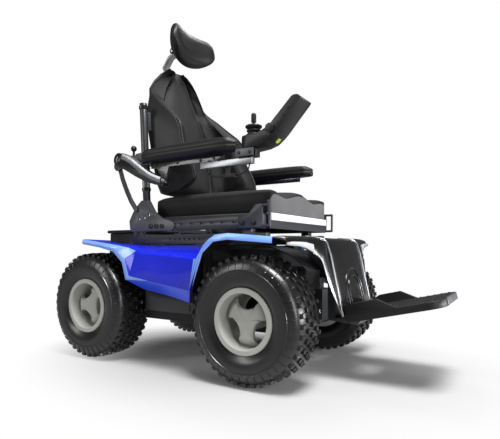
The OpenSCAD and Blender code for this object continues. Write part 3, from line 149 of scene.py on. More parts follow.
def grain(name, dark, light, rough, pitch_mm, height_mm, metallic=0.0, coat=0.0, spread=0.08, shine=0.35):
    """A moulded, cast or coated surface: two near colours, a broken gloss, and a bump of a real pitch."""
    made, tree, shader, where = bare(name)
    fine = add(tree, "TexNoise", {"Vector": where}, {"Scale": 1000.0 / pitch_mm, "Detail": 3.0})
    broad = add(tree, "TexNoise", {"Vector": where}, {"Scale": 14.0, "Detail": 2.0})
    tint = add(tree, "Mix", {"Factor": broad.outputs[0]}, data_type="RGBA")
    tint.inputs["A"].default_value = linear(dark)
    tint.inputs["B"].default_value = linear(light)
    gloss = add(tree, "MapRange", {"Value": broad.outputs[0]},
        {"To Min": rough - spread, "To Max": rough + spread})
    bump = add(tree, "Bump", {"Height": fine.outputs[0]}, {"Distance": height_mm / 1000.0, "Strength": 0.6})
    tree.links.new(tint.outputs["Result"], shader.inputs["Base Color"])
    tree.links.new(gloss.outputs[0], shader.inputs["Roughness"])
    tree.links.new(bump.outputs[0], shader.inputs["Normal"])
    shader.inputs["Metallic"].default_value = metallic
    shader.inputs["Coat Weight"].default_value = coat
    shader.inputs["Coat Roughness"].default_value = 0.08
    shader.inputs["Specular IOR Level"].default_value = shine
    return made


# Dark grey powder paint on the frames and rails.
POWDER = grain("powder coated steel", "#303134", "#3c3d40", 0.4, 1.6, 0.05, shine=0.5)
# A lighter powder paint on the triangular plates, the joystick clamp and the footplate cap.
PLATE_PAINT = grain("grey powder coated plate", "#47484b", "#525356", 0.42, 1.6, 0.05, shine=0.5)
# Sand cast cases of the gear motors and the tilt actuator.
CASTING = grain("cast aluminium", "#3c3e41", "#4b4d50", 0.5, 2.4, 0.12, metallic=0.6)
# Black moulded trays, liners, shells and footplate.
TRAY = grain("moulded polypropylene", "#121213", "#19191b", 0.5, 1.2, 0.05)
# Deep blue paint under a clear lacquer.
LACQUER = grain("blue lacquer", "#0c1cc0", "#1224d6", 0.34, 40.0, 0.02, coat=0.5, spread=0.03)
# The blue lacquer made paler on the turned-out lip: a painted highlight where the lip catches the light.
LIP_HIGHLIGHT_PAINT = grain("blue lacquer with painted lip highlight", "#6f9bff", "#8db4ff", 0.3, 40.0, 0.02, coat=0.6, spread=0.03)
# The blue lacquer made lighter on the chamfer under the panel: painted light, for how the light falls on
# that facet.
CHAMFER_LIGHT_PAINT = grain("blue lacquer with painted chamfer light", "#2d4df0", "#3a5cff", 0.34, 40.0, 0.02, coat=0.5, spread=0.03)
# Glossy black mouldings of the nose, the arms and the cane collars.
GLOSS_BLACK = grain("semi gloss abs", "#0b0b0c", "#111113", 0.26, 3.0, 0.02, coat=0.3, spread=0.04,
    shine=0.5)
# Carbon black rubber, shiny on the shoulder and duller in the broad noise.
RUBBER = grain("tyre rubber", "#0b0b0c", "#131314", 0.31, 3.0, 0.06, shine=0.75)
# Plain rubber of the joystick boot, its stick and its cable.
SOFT_RUBBER = grain("moulded rubber", "#111112", "#19191a", 0.5, 1.0, 0.05)
# Warm grey paint on the cast rims.
RIM_PAINT = grain("painted cast alloy", "#a9a9a4", "#b7b7b1", 0.36, 2.0, 0.03)
# Dark anodising on the back canes.
DARK_ALLOY = grain("dark anodised aluminium", "#3a3b3d", "#4b4c4e", 0.36, 1.0, 0.02, metallic=0.8)
# Bright anodised swing arm, headrest stem, arm bands, cane sleeves and beads.
ALLOY = grain("anodised aluminium", "#8f9194", "#a9abae", 0.33, 1.0, 0.02, metallic=0.85)
# Plated shafts and rods.
STEEL = grain("zinc plated steel", "#7c7e82", "#96989c", 0.35, 1.2, 0.03, metallic=0.9)
# Black oxide screws and bolts.
BOLT = grain("black oxide steel", "#1a1a1c", "#262629", 0.36, 1.0, 0.03, metallic=0.5, shine=0.5)
# Head lamp lenses, grey white behind a clear face.
LENS = grain("clear lens over white", "#a9acb0", "#c4c7ca", 0.15, 6.0, 0.03, coat=0.8, spread=0.03)
# White trim along the front of the seat pan.
WHITE_TRIM = grain("white edge trim", "#e2e3e5", "#f2f2f2", 0.3, 2.0, 0.03)
# Dark glass of the joystick display.
SCREEN = grain("black display glass", "#06080b", "#0a0d12", 0.1, 30.0, 0.005, coat=0.6, spread=0.02)
# Fine textured joystick case, dial and release knobs.
POD = grain("fine textured abs", "#111112", "#181819", 0.42, 0.9, 0.02, shine=0.4)
# Yellow green charger socket.
PORT = grain("yellow green socket", "#a9b83a", "#c3cf55", 0.4, 1.0, 0.03)
# Woven cloth on the CAD cushions, which the sewn covers below replace.
CLOTH = grain("woven cover", "#131314", "#1b1b1c", 0.8, 1.8, 0.15, shine=0.25)
# Smooth skin of the headrest and the arm pads.
HIDE = grain("smooth leatherette", "#0e0e0f", "#161617", 0.5, 2.2, 0.05, shine=0.35)
FINISH = {
    "frame": POWDER, "tray": TRAY, "battery": TRAY, "body_blue": LACQUER, "fender_black": GLOSS_BLACK,
    "lens": LENS, "motor": CASTING, "tyre": RUBBER, "rim": RIM_PAINT, "footplate": TRAY, "steel": STEEL,
    "silver": ALLOY, "cover": CLOTH, "pad": HIDE, "shell": TRAY, "trim_white": WHITE_TRIM,
    "screen": SCREEN, "rubber": SOFT_RUBBER, "pod": POD,
}

# %% [markdown]
# The CAD solids have knife edges, and no made thing has. A weld joins their triangles,
# flat triangles are dissolved into whole faces, and a small bevel rounds each sharp edge
# so that it catches a line of light. These stay live modifiers: the solid is unchanged.

# %% Finishes and rounded edges of the CAD solids
PLAIN_EDGE_MM = 0.8
EDGE_MM = {
    "side_body_right": 2.5, "side_body_left": 2.5, "front_fender_right": 2.0, "front_fender_left": 2.0,
    "front_shroud": 2.5, "footplate": 3.0, "deck_lid": 4.0, "controller_box": 3.0,
    "joystick_housing": 2.5, "arm_right": 3.0, "arm_left": 3.0, "speed_dial": 1.0,
}
for part in frame["record"]["subparts"]:
    node = NODES[part["node"]]
    node.data.materials.clear()
    node.data.materials.append(FINISH[part["material_slot"]])
    node.data.shade_smooth()
    weld = node.modifiers.new("weld", "WELD")
    weld.merge_threshold = 0.00002
    flat = node.modifiers.new("whole faces", "DECIMATE")
    flat.decimate_type = "DISSOLVE"
    flat.angle_limit = math.radians(0.5)
    flat.delimit = {"MATERIAL"}
    edge = node.modifiers.new("rounded edges", "BEVEL")
    edge.width = EDGE_MM.get(part["node"], PLAIN_EDGE_MM) / 1000.0
    edge.segments = 2
    edge.limit_method = "ANGLE"
    edge.angle_limit = math.radians(32)
    edge.harden_normals = True
print("finishes:", len(FINISH))

# %% [markdown]
# A few small tools, each of which does one thing that a modeller does by hand: pick a
# piece, turn a profile on a lathe, strew copies of one model, and sign a piece off by
# giving it a name, a finish and the moving body that it belongs to.

# %% Tools
MM = 0.001
# Where the middle between the axles lies in the frame, in metres.
MIDDLE = Vector((-0.142317, 0.0, 0.0))


def at(x, y, z):
    """A place in millimetres from the middle between the axles, on the floor."""
    return Vector((x, y, z)) * MM + MIDDLE


def pick(obj):
    """Makes one object the only one selected, and the active one."""
    bpy.ops.object.select_all(action="DESELECT")
    obj.select_set(True)
    bpy.context.view_layer.objects.active = obj
    return obj


def bake(obj):
    """Writes an object's place, turn and scale into its mesh."""
    pick(obj)
    bpy.ops.object.transform_apply(location=True, rotation=True, scale=True)
    return obj


def skin(name, points, faces):
    """An object with a mesh of points in metres and faces."""
    mesh = bpy.data.meshes.new(name)
    mesh.from_pydata(points, [], faces)
    obj = bpy.data.objects.new(name, mesh)
    SCENE.collection.objects.link(obj)
    return obj


def settle(obj, angle=30):
    """Joins double vertices, turns the faces outward, and smooths all but the sharp edges."""
    bake(obj)
    bpy.ops.object.mode_set(mode="EDIT")
    bpy.ops.mesh.select_all(action="SELECT")
    bpy.ops.mesh.remove_doubles(threshold=0.00001)
    bpy.ops.mesh.normals_make_consistent(inside=False)
    bpy.ops.object.mode_set(mode="OBJECT")
    bpy.ops.object.shade_smooth_by_angle(angle=math.radians(angle))
    return obj


def sign(obj, name, body, finish):
    """Names a piece and gives it its body and its finish."""
    obj.name = name
    obj.data.name = name
    obj.data.materials.clear()
    obj.data.materials.append(finish)
    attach(obj, body)
    print(name, len(obj.data.polygons), "faces on", body)
    return obj


def turned(profile, steps):
    """Turns a line of (out, radius) pairs in millimetres round the Y axis."""
    bpy.ops.object.select_all(action="DESELECT")
    bpy.ops.mesh.primitive_plane_add(size=MM)
    bpy.ops.object.mode_set(mode="EDIT")
    bpy.ops.mesh.select_all(action="SELECT")
    bpy.ops.mesh.merge(type="CENTER")
    spot = Vector((0.0, profile[0][0], profile[0][1])) * MM
    bpy.ops.transform.translate(value=spot)
    for out, radius in profile[1:]:
        new = Vector((0.0, out, radius)) * MM
        bpy.ops.mesh.extrude_vertices_move(TRANSFORM_OT_translate={"value": new - spot})
        spot = new
    bpy.ops.mesh.select_all(action="SELECT")
    bpy.ops.mesh.spin(steps=steps, angle=math.tau, center=(0, 0, 0), axis=(0, 1, 0))
    bpy.ops.object.mode_set(mode="OBJECT")
    return settle(bpy.context.object)


def block(length, width, height, draft, edge):
    """A small block that stands on the origin, narrower at its top by a draft, its top edges bevelled."""
    bpy.ops.object.select_all(action="DESELECT")
    bpy.ops.mesh.primitive_cube_add(size=1.0, location=(0, 0, height * MM / 2))
    obj = bpy.context.object
    obj.scale = (length * MM, width * MM, height * MM)
    bake(obj)
    bpy.ops.object.mode_set(mode="EDIT")
    bpy.ops.mesh.select_all(action="DESELECT")
    bpy.ops.object.mode_set(mode="OBJECT")
    for face in obj.data.polygons:
        face.select = face.normal.z > 0.9
    bpy.ops.object.mode_set(mode="EDIT")
    bpy.ops.transform.resize(value=(draft, draft, 1.0))
    if edge:
        bpy.ops.mesh.bevel(offset=edge * MM, segments=1)
    bpy.ops.object.mode_set(mode="OBJECT")
    return obj


def twin(obj, place):
    """A copy of an object, with its own mesh, at a place given as a matrix."""
    made = obj.copy()
    made.data = obj.data.copy()
    made.matrix_world = place
    SCENE.collection.objects.link(made)
    return made


def joined(objects):
    """Joins objects into the first of them."""
    bpy.ops.object.select_all(action="DESELECT")
    for obj in objects:
        obj.select_set(True)
    bpy.context.view_layer.objects.active = objects[0]
    bpy.ops.object.join()
    return objects[0]


def strewn(model, places):
    """Copies a model to many places, joins the copies, and drops the model."""
    made = joined([twin(model, place) for place in places])
    bpy.data.objects.remove(model)
    return bake(made)


def bevelled_box(place, size, edge):
    """A box of a size in metres at a place given as a matrix, all its edges bevelled."""
    bpy.ops.object.select_all(action="DESELECT")
    bpy.ops.mesh.primitive_cube_add(size=1.0)
    made = bpy.context.object
    made.matrix_world = place @ Matrix.Diagonal((*size, 1.0))
    bake(made)
    bpy.ops.object.mode_set(mode="EDIT")
    bpy.ops.mesh.select_all(action="SELECT")
    bpy.ops.mesh.bevel(offset=edge, segments=2)
    bpy.ops.object.mode_set(mode="OBJECT")
    return settle(made)

# %% [markdown]
# The tyre is a low pressure balloon tyre. Its carcass is turned like on a lathe: a bead,
# a round sidewall with one raised ring, and a crown. One tread knob is modelled and
# copied round in staggered rows, forty to a turn. Thin moulded ribs, as many to a turn,
# run down the smooth shoulder. The left tyres are the same moulding.

# %% Tyres
# Axles from the middle of the chair and the floor, and the middle of each tyre, in millimetres.
AXLE_X, AXLE_Z, WHEEL_Y = 312.5, 177.5, 262
HALF = [(57, 80.5), (59, 89), (61, 90), (62.5, 92.5), (63.5, 94.2), (66, 98), (70.8, 107.7), (72.6, 118),
    (73, 127), (72.6, 134), (74, 135), (74, 137), (72, 138), (70.5, 146), (67, 154), (61, 162), (50, 168),
    (29, 170.4)]
CROWN_R, ROUND_STEPS = 171, 96
OTHER_HALF = [(-y, r) for y, r in reversed(HALF)]
carcass = turned(HALF + [(0, CROWN_R)] + OTHER_HALF + [HALF[0]], ROUND_STEPS)
KNOBS = 40
# Length, width, height, draft and bevel of one knob and of one rib.
KNOB = (14, 13, 11, 0.8, 1.0)
RIB = (3.0, 14, 1.8, 0.7, 0)
# Distance out, radius, lean in degrees and stagger of each row.
KNOB_ROWS = [(0, 166.5, 0, 0.0), (24, 166.0, 3, 0.5), (-24, 166.0, 3, 0.5), (48, 164.0, 13, 0.0),
    (-48, 164.0, 13, 0.0)]
RIB_ROWS = [(69.8, 146, 77, 0.25), (63.2, 158.6, 47, 0.25), (-69.8, 146, 77, 0.25), (-63.2, 158.6, 47, 0.25)]


def round_wheel(out, radius, lean, phase):
    """Places round a wheel at one distance out and one radius, leaning over the shoulder."""
    tip = Matrix.Rotation(-math.copysign(1.0, out) * math.radians(lean), 4, "X")
    stand = Matrix.Translation((0, out * MM, radius * MM)) @ tip
    return [Matrix.Rotation(math.tau * (k + phase) / KNOBS, 4, "Y") @ stand for k in range(KNOBS)]


knobs = strewn(block(*KNOB), [place for row in KNOB_ROWS for place in round_wheel(*row)])
ribs = strewn(block(*RIB), [place for row in RIB_ROWS for place in round_wheel(*row)])
tyre = joined([carcass, knobs, ribs])
tyre.data.validate()
WHEELS = {
    "front_right": (AXLE_X, -WHEEL_Y), "front_left": (AXLE_X, WHEEL_Y),
    "rear_right": (-AXLE_X, -WHEEL_Y), "rear_left": (-AXLE_X, WHEEL_Y),
}
for name, (x, y) in WHEELS.items():
    made = bake(twin(tyre, Matrix.Translation(at(x, y, AXLE_Z))))
    sign(made, "tyre_tread_" + name, "wheel_" + name, RUBBER)
    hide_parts("tyre_" + name)
bpy.data.objects.remove(tyre)

# %% [markdown]
# The rim is one painted casting: a turned barrel with a flat lip, and a three-armed star
# set a little behind the lip. The star is the disc that is left between three round
# windows. It is laid out as rings from the hub to its edge: a flat face with a small
# step along its edge, and arms that bend back to the barrel.

# %% Rims
BARREL = [(-66, 76.2), (-65.2, 75), (-60, 74.5), (-6, 72), (20, 69), (58, 69), (66, 74), (66, 88), (62, 90),
    (58, 87), (55, 78), (30, 74.5), (-30, 76.5), (-55, 79), (-58, 87.5), (-62, 90), (-65, 89.2), (-66, 88),
    (-66, 76.2)]
HUB = [(-34, 4), (-34, 27), (-4, 30), (30, 30), (30, 14), (66, 14), (66, 4), (-34, 4)]
WINDOW_R, WINDOW_AT, EDGE_R = 45.0, 74.0, 73.5
ARC_STEPS, EDGE_STEPS, HUB_STEPS = 14, 6, 48
FACE_OUT, STAR_T, FLAT_R, BEND_W = 45.0, 13.0, 50.0, 8.0
STEP_SHARE, STEP_IN, EDGE_IN = 0.9, 1.0, 1.2
RING_SHARES = (0.3, 0.44, 0.52, 0.58, 0.64, 0.7, 0.76, 0.82, 0.88, STEP_SHARE, 0.97, 1.0)


def polar(radius, angle, centre=(0.0, 0.0)):
    """A point of the wheel's face at a radius and an angle about a centre."""
    return (centre[0] + radius * math.cos(angle), centre[1] + radius * math.sin(angle))


def star_outline(turn):
    """The edge of the star: round the inner half of each window, then along the barrel to the next."""
    bend = math.acos((EDGE_R ** 2 - WINDOW_AT ** 2 - WINDOW_R ** 2) / (2 * WINDOW_AT * WINDOW_R))
    edge = []
    for k in range(3):
        middle = math.radians(turn + 60 + 120 * k)
        centre = polar(WINDOW_AT, middle)
        step = (math.tau - 2 * bend) / ARC_STEPS
        edge += [polar(WINDOW_R, middle - bend - step * j, centre) for j in range(ARC_STEPS + 1)]
        first = math.atan2(edge[-ARC_STEPS - 1][1], edge[-ARC_STEPS - 1][0])
        last = math.atan2(edge[-1][1], edge[-1][0])
        swept = (last - first) % math.tau
        way = 1 if swept < math.pi else -1
        gap = math.radians(120) - (swept if way == 1 else math.tau - swept)
        edge += [polar(EDGE_R, last + way * gap * j / EDGE_STEPS) for j in range(1, EDGE_STEPS)]
    return edge


def star_face(radius, share):
    """How far out the face of the star lies: flat, then bent back, with a step along its edge."""
    bent = min(max(radius - FLAT_R, 0.0), BEND_W)
    face = -FACE_OUT + bent ** 2 / (2 * BEND_W) + max(0.0, radius - FLAT_R - BEND_W)
    return face + (STEP_IN if share >= STEP_SHARE else 0.0) + (EDGE_IN if share == 1.0 else 0.0)


def star(turn):
    """The star in wheel coordinates: rings of points on its face and back, closed round its edge."""
    edge = star_outline(turn)
    count = len(edge)
    rings = len(RING_SHARES)
    points = []
    for back in (0, 1):
        for share in RING_SHARES:
            for x, z in edge:
                out = star_face(math.hypot(x, z) * share, share) + STAR_T * back
                points.append(Vector((x * share, out, z * share)) * MM)
    points += [Vector((0, STAR_T * back - FACE_OUT, 0)) * MM for back in (0, 1)]
    faces = []
    for back in (0, 1):
        for i in range(rings - 1):
            for j in range(count):
                a, b = (back * rings + i) * count, (back * rings + i + 1) * count
                k = (j + 1) % count
                faces.append((a + j, a + k, b + k, b + j))
        first = back * rings * count
        centre = 2 * rings * count + back
        faces += [(first + (j + 1) % count, first + j, centre) for j in range(count)]
    a, b = (rings - 1) * count, (2 * rings - 1) * count
    faces += [(a + j, a + (j + 1) % count, b + (j + 1) % count, b + j) for j in range(count)]
    return settle(skin("star", points, faces), 24)


SPOKES = {"front_right": 30, "rear_right": 60, "front_left": 30, "rear_left": 60}
for name, (x, y) in WHEELS.items():
    made = joined([turned(BARREL, ROUND_STEPS), turned(HUB, HUB_STEPS), star(SPOKES[name])])
    face = 0.0 if y < 0 else math.pi
    made.matrix_world = Matrix.Translation(at(x, y, AXLE_Z)) @ Matrix.Rotation(face, 4, "Z")
    bake(made)
    sign(made, "rim_casting_" + name, "wheel_" + name, RIM_PAINT)
    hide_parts("rim_" + name)

# %% [markdown]
# The padded pieces are foam under a sewn cover. Each starts as a fine skin shrunk round
# its CAD solid. That skin is blown up as cloth for twenty frames with no weight, which
# rounds its edges and lets its faces bulge, and no point may move further than a few
# millimetres. The CAD solid is then hidden.

# %% Padding
def shrunk(node, voxel_mm, relax):
    """A copy of a CAD cushion with a fine even skin, eased so that its edges round."""
    made = twin(NODES[node], NODES[node].matrix_world.copy())
    made.modifiers.clear()
    made.parent = None
    made.matrix_world = NODES[node].matrix_world.copy()
    bake(made)
    bpy.ops.object.mode_set(mode="EDIT")
    bpy.ops.mesh.select_all(action="SELECT")
    bpy.ops.mesh.remove_doubles(threshold=0.00001)
    bpy.ops.object.mode_set(mode="OBJECT")
    made.data.remesh_voxel_size = voxel_mm * MM
    bpy.ops.object.voxel_remesh()
    ease = made.modifiers.new("ease", "SMOOTH")
    ease.factor = 0.5
    ease.iterations = relax
    bpy.ops.object.modifier_apply(modifier="ease")
    return made


def blown(made, swell_mm, sewn_down=""):
    """Blows a skin up as cloth, caps how far a point moves, and subdivides it once."""
    pick(made)
    rest = [vert.co.copy() for vert in made.data.vertices]
    press = made.modifiers.new("stuffing", "CLOTH")
    press.settings.quality = 3
    press.settings.use_pressure = True
    press.settings.uniform_pressure_force = 4.0
    press.settings.effector_weights.gravity = 0.0
    press.settings.vertex_group_mass = sewn_down
    for step in range(1, 21):
        SCENE.frame_set(step)
    full = made.evaluated_get(bpy.context.evaluated_depsgraph_get())
    puffed = [vert.co.copy() for vert in full.data.vertices]
    made.modifiers.clear()
    for vert, before, after in zip(made.data.vertices, rest, puffed):
        move = after - before
        vert.co = before + move * min(1.0, swell_mm * MM / max(move.length, 1e-9))
    SCENE.frame_set(1)
    finer = made.modifiers.new("finer", "SUBSURF")
    bpy.ops.object.modifier_apply(modifier="finer")
    bpy.ops.object.shade_smooth()
    return made


def sewn(name, base, panels, rough, pitch_mm, height_mm, shine):
    """A sewn cover: a panel's cloth shows where its attribute is above nought. A fine noise is the weave."""
    made, tree, shader, where = bare(name)
    fine = add(tree, "TexNoise", {"Vector": where}, {"Scale": 1000.0 / pitch_mm, "Detail": 3.0})
    broad = add(tree, "TexNoise", {"Vector": where}, {"Scale": 12.0, "Detail": 2.0})
    colour = add(tree, "RGB").outputs[0]
    colour.default_value = linear(base)
    for panel, code in panels:
        inside = add(tree, "Attribute", attribute_name=panel)
        step = add(tree, "MapRange", {"Value": inside.outputs["Fac"]}, {"From Min": -0.6, "From Max": 0.6})
        blend = add(tree, "Mix", {"Factor": step.outputs[0], "A": colour}, data_type="RGBA")
        blend.inputs["B"].default_value = linear(code)
        colour = blend.outputs["Result"]
    shade = add(tree, "MapRange", {"Value": broad.outputs[0]}, {"To Min": 0.8, "To Max": 1.2})
    tint = add(tree, "Mix", {"A": colour, "B": shade.outputs[0]}, {"Factor": 1.0}, data_type="RGBA",
        blend_type="MULTIPLY")
    bump = add(tree, "Bump", {"Height": fine.outputs[0]}, {"Distance": height_mm * MM, "Strength": 0.6})
    tree.links.new(tint.outputs["Result"], shader.inputs["Base Color"])
    tree.links.new(bump.outputs[0], shader.inputs["Normal"])
    shader.inputs["Roughness"].default_value = rough
    shader.inputs["Specular IOR Level"].default_value = shine
    return made


def panel(obj, name, rule):
    """Writes how far each point lies inside a panel, in millimetres, by its place and direction."""
    marks = obj.data.attributes.new(name, "FLOAT", "POINT")
    for vert in obj.data.vertices:
        marks.data[vert.index].value = rule((vert.co - MIDDLE) / MM, vert.normal)


def tube(name, points, radius_mm, body, finish, close=False):
    """A round bead along points in millimetres, as piping, wire or cable is."""
    line = bpy.data.curves.new(name, "CURVE")
    line.dimensions = "3D"
    line.bevel_depth = radius_mm * MM
    line.bevel_resolution = 3
    line.use_fill_caps = True
    path = line.splines.new("POLY")
    path.points.add(len(points) - 1)
    for spot, place in zip(path.points, points):
        spot.co = (*at(*place), 1.0)
    path.use_cyclic_u = close
    obj = bpy.data.objects.new(name, line)
    SCENE.collection.objects.link(obj)
    pick(obj)
    bpy.ops.object.convert(target="MESH")
    return sign(settle(bpy.context.object, 60), name, body, finish)


# %% [markdown]
# The seat cushion is a tall foam block. Its cover is black stretch cloth on top, dark
# weave down the sides and mid grey at the front, where the top dips for each thigh.

# %% Seat cushion
SEAT_PANELS = [("top_cover", "#0f0f10"), ("front_panel", "#5e5e60")]
SEAT_COVER = sewn("seat cover cloth", "#1a1a1b", SEAT_PANELS, 0.75, 1.8, 0.15, 0.3)
seat = blown(shrunk("seat_cushion", 8.0, 2), 6.0)
inside = [(vert.co - MIDDLE) / MM for vert in seat.data.vertices]
FRONT = max(p.x for p in inside)
BROW_DEEP, BROW_STEP, FLANK_OUT, FLANK_STEP = 45, 12, 180, 16
PLAIN_TOP, HEM_DROP, HEM_TURN, PANEL_DEEP = 530.0, 16, 30, 14
brow, flank = {}, {}
for p in inside:
    across, along = round(p.y / BROW_STEP), round(p.x / FLANK_STEP)
    if p.x > FRONT - BROW_DEEP:
        brow[across] = max(brow.get(across, 0.0), p.z)
    if abs(p.y) > FLANK_OUT:
        flank[along] = max(flank.get(along, 0.0), p.z)


def between(table, place):
    """A value read from a table of steps, in a straight line between them."""
    low = math.floor(place)
    a = table.get(low, table.get(low + 1, PLAIN_TOP))
    return a + (table.get(low + 1, a) - a) * (place - low)


def hem(p):
    """Height of the seam that runs round the cushion under its top edge."""
    if p.x > FRONT - HEM_TURN:
        return between(brow, p.y / BROW_STEP) - HEM_DROP
    return between(flank, p.x / FLANK_STEP) - HEM_DROP


panel(seat, "top_cover", lambda p, n: 9.0 if n.z > 0.75 else p.z - hem(p))
panel(seat, "front_panel", lambda p, n: min(p.x - FRONT + PANEL_DEEP, hem(p) - p.z))
sign(seat, "seat_cover", "seat", SEAT_COVER)
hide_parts("seat_cushion")

# %% [markdown]
# The back cushion is a bucket of foam on a thin shell, with a charcoal centre panel
# between two seams and black wings that wrap the sitter. It is laid out on the lines of
# the bucket: height, half width, how far back its middle lies and how far forward its
# wings reach. Foam fills in from the shell, and thins to nothing at the rim. The seams and
# the side on the shell are held while the rest is blown up, so the foam swells between.

# %% Back cushion
BACK_COVER = sewn("back cover cloth", "#0b0b0c", [("centre_panel", "#1b1b1c")], 0.65, 1.6, 0.12, 0.25)
PIPING = grain("sewn piping", "#232325", "#303032", 0.5, 0.9, 0.05)
HALF_W = [(0, 182), (0.072, 195), (0.25, 198), (0.5, 196), (0.7, 170), (0.8, 143), (0.9, 103), (0.96, 67),
    (1, 36)]
REAR = [(0, -165), (0.3, -194), (0.6, -226), (0.8, -235), (1, -230)]
WINGS = [(0, -31), (0.072, 46), (0.15, 38), (0.3, -4), (0.476, -21), (0.568, -78), (0.656, -127),
    (0.742, -184), (0.8, -194), (1, -207)]
BACK_LOW, BACK_TALL, BEND, ROUND = 560.0, 489.0, 66.0, 0.62
SEAM_AT, FOAM, BULGE, SHELL, CROWN = 0.3, 44.0, 30.0, 6.5, 12.0
RIM_W, WING_W, GROOVE, GROOVE_W = 34.0, 290.0, 8.0, 0.03


def read(table, place):
    """A value on a table of points, with its corners rounded off."""
    total = 0.0
    for step in (-0.03, -0.015, 0.0, 0.015, 0.03):
        spot = min(max(place + step, 0.0), 1.0)
        for (a, u), (b, v) in zip(table, table[1:]):
            if spot <= b:
                total += u + (v - u) * (spot - a) / (b - a)
                break
    return total / 5


def bucket(up, round_, inset):
    """A point of the bucket by its height share, place round the sitter from -1 to 1, and depth."""
    width = read(HALF_W, up) - inset
    rear = read(REAR, up) + inset
    front = max(read(WINGS, up), rear + BEND / 2)
    bend = min(BEND, front - rear)
    turn = min(1.0, abs(round_) / ROUND) * math.pi / 2
    past = max(0.0, (abs(round_) - ROUND) / (1 - ROUND))
    return at(rear + bend * (1 - math.cos(turn)) + past * (front - rear - bend),
        math.copysign(width * math.sin(turn), round_), BACK_LOW + BACK_TALL * up)


def foam(up, round_):
    """Depth of the foam: full in the middle, thin at the crown, nothing at the rim."""
    rim = min(1 - up, up) * BACK_TALL
    rim = min(rim, (1 - abs(round_)) * WING_W)
    edge = math.sqrt(max(0.0, 1 - (1 - min(1.0, rim / RIM_W)) ** 2))
    depth = FOAM * (1 - 0.45 * up ** 6) * (0.8 + 0.2 * math.sin(math.pi * min(1.0, up * 0.9 + 0.08)))
    depth += BULGE * max(0.0, 1 - (round_ / SEAM_AT) ** 4) * (1 - up ** 6) * min(1.0, up * 7)
    groove = GROOVE * math.exp(-((abs(round_) - SEAM_AT) / GROOVE_W) ** 2)
    return max(0.0, (depth - groove) * edge)


TALL, WIDE = 56, 60
points, faces, held = [], [], []
for side in (0, 1):
    for i in range(TALL + 1):
        for j in range(WIDE + 1):
            up, round_ = i / TALL, 2 * j / WIDE - 1
            if abs(abs(round_) - SEAM_AT) < 0.02 or side == 1:
                held.append(len(points))
            points.append(bucket(up, round_, SHELL + (foam(up, round_) if side == 0 else -0.2)))
            points[-1].z += CROWN * MM * up ** 8 * (0.6 - 2.6 * round_ ** 2)
row = WIDE + 1
for side in (0, 1):
    first = side * (TALL + 1) * row
    corners = [first + i * row + j for i in range(TALL) for j in range(WIDE)]
    faces += [(k, k + 1, k + row + 1, k + row) for k in corners]
rim = [j for j in range(row)] + [i * row + WIDE for i in range(1, TALL + 1)]
rim += [TALL * row + j for j in range(WIDE - 1, -1, -1)] + [i * row for i in range(TALL - 1, 0, -1)]
far = (TALL + 1) * row
faces += [(a, b, b + far, a + far) for a, b in zip(rim, rim[1:] + rim[:1])]
back = skin("back cover", points, faces)
back.vertex_groups.new(name="sewn down").add(held, 1.0, "REPLACE")
pick(back)
bpy.ops.object.mode_set(mode="EDIT")
bpy.ops.mesh.select_all(action="SELECT")
bpy.ops.mesh.normals_make_consistent(inside=False)
bpy.ops.object.mode_set(mode="OBJECT")
back = blown(back, 7.0, "sewn down")


def seam_half(z):
    """Half the width of the centre panel at a height."""
    return (read(HALF_W, (z - BACK_LOW) / BACK_TALL) - FOAM) * math.sin(SEAM_AT / ROUND * math.pi / 2)


panel(back, "centre_panel", lambda p, n: seam_half(p.z) - abs(p.y) if n.x > -0.2 else -9.0)
sign(back, "back_cover", "backrest", BACK_COVER)
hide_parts("back_cushion")

# %% [markdown]
# Piping is sewn into both seams and round the front of each wing. The seam piping is
# laid by looking for the padded skin from the front at each height.

# %% Back piping
SEAM_LOW, SEAM_TALL, SEAM_STEPS = 585, 440, 40
for side, mark in ((-1, "right"), (1, "left")):
    seam = []
    for k in range(SEAM_STEPS):
        z = SEAM_LOW + SEAM_TALL * k / (SEAM_STEPS - 1)
        hit, spot, _, _ = back.ray_cast(at(400, side * seam_half(z), z), Vector((-1, 0, 0)))
        if hit:
            p = (spot - MIDDLE) / MM
            seam.append((p.x + 0.4, p.y, p.z))
    tube("back_seam_" + mark, seam, 2.0, "backrest", PIPING)
    wing = [(bucket(k / 40, side, SHELL) - MIDDLE) / MM for k in range(3, 31)]
    edge = [(p.x + 1.0, p.y - side * 3.0, p.z) for p in wing]
    tube("wing_piping_" + mark, edge, 2.4, "backrest", PIPING)

# %% [markdown]
# The headrest pad and the arm pads are moulded foam with a smooth skin, so their skin
# is shrunk close and swells little. Each arm pad has a parting line along its side.

# %% Headrest and arm pads
head = blown(shrunk("headrest_pad", 6.0, 6), 4.0)
sign(head, "headrest_skin", "head_pad", HIDE)
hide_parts("headrest_pad")
LINE_Z, LINE_W, LINE_DEEP = 664, 2.2, 2.0
for mark in ("right", "left"):
    pad = blown(shrunk("arm_pad_" + mark, 5.0, 3), 3.0)
    facing = [Vector((vert.normal.x, vert.normal.y, 0.0)) for vert in pad.data.vertices]
    for vert, flat in zip(pad.data.vertices, facing):
        vert.co -= flat * LINE_DEEP * MM * math.exp(-((vert.co.z / MM - LINE_Z) / LINE_W) ** 2)
    sign(pad, "arm_pad_skin_" + mark, "armrest_" + mark, HIDE)
    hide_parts("arm_pad_" + mark)
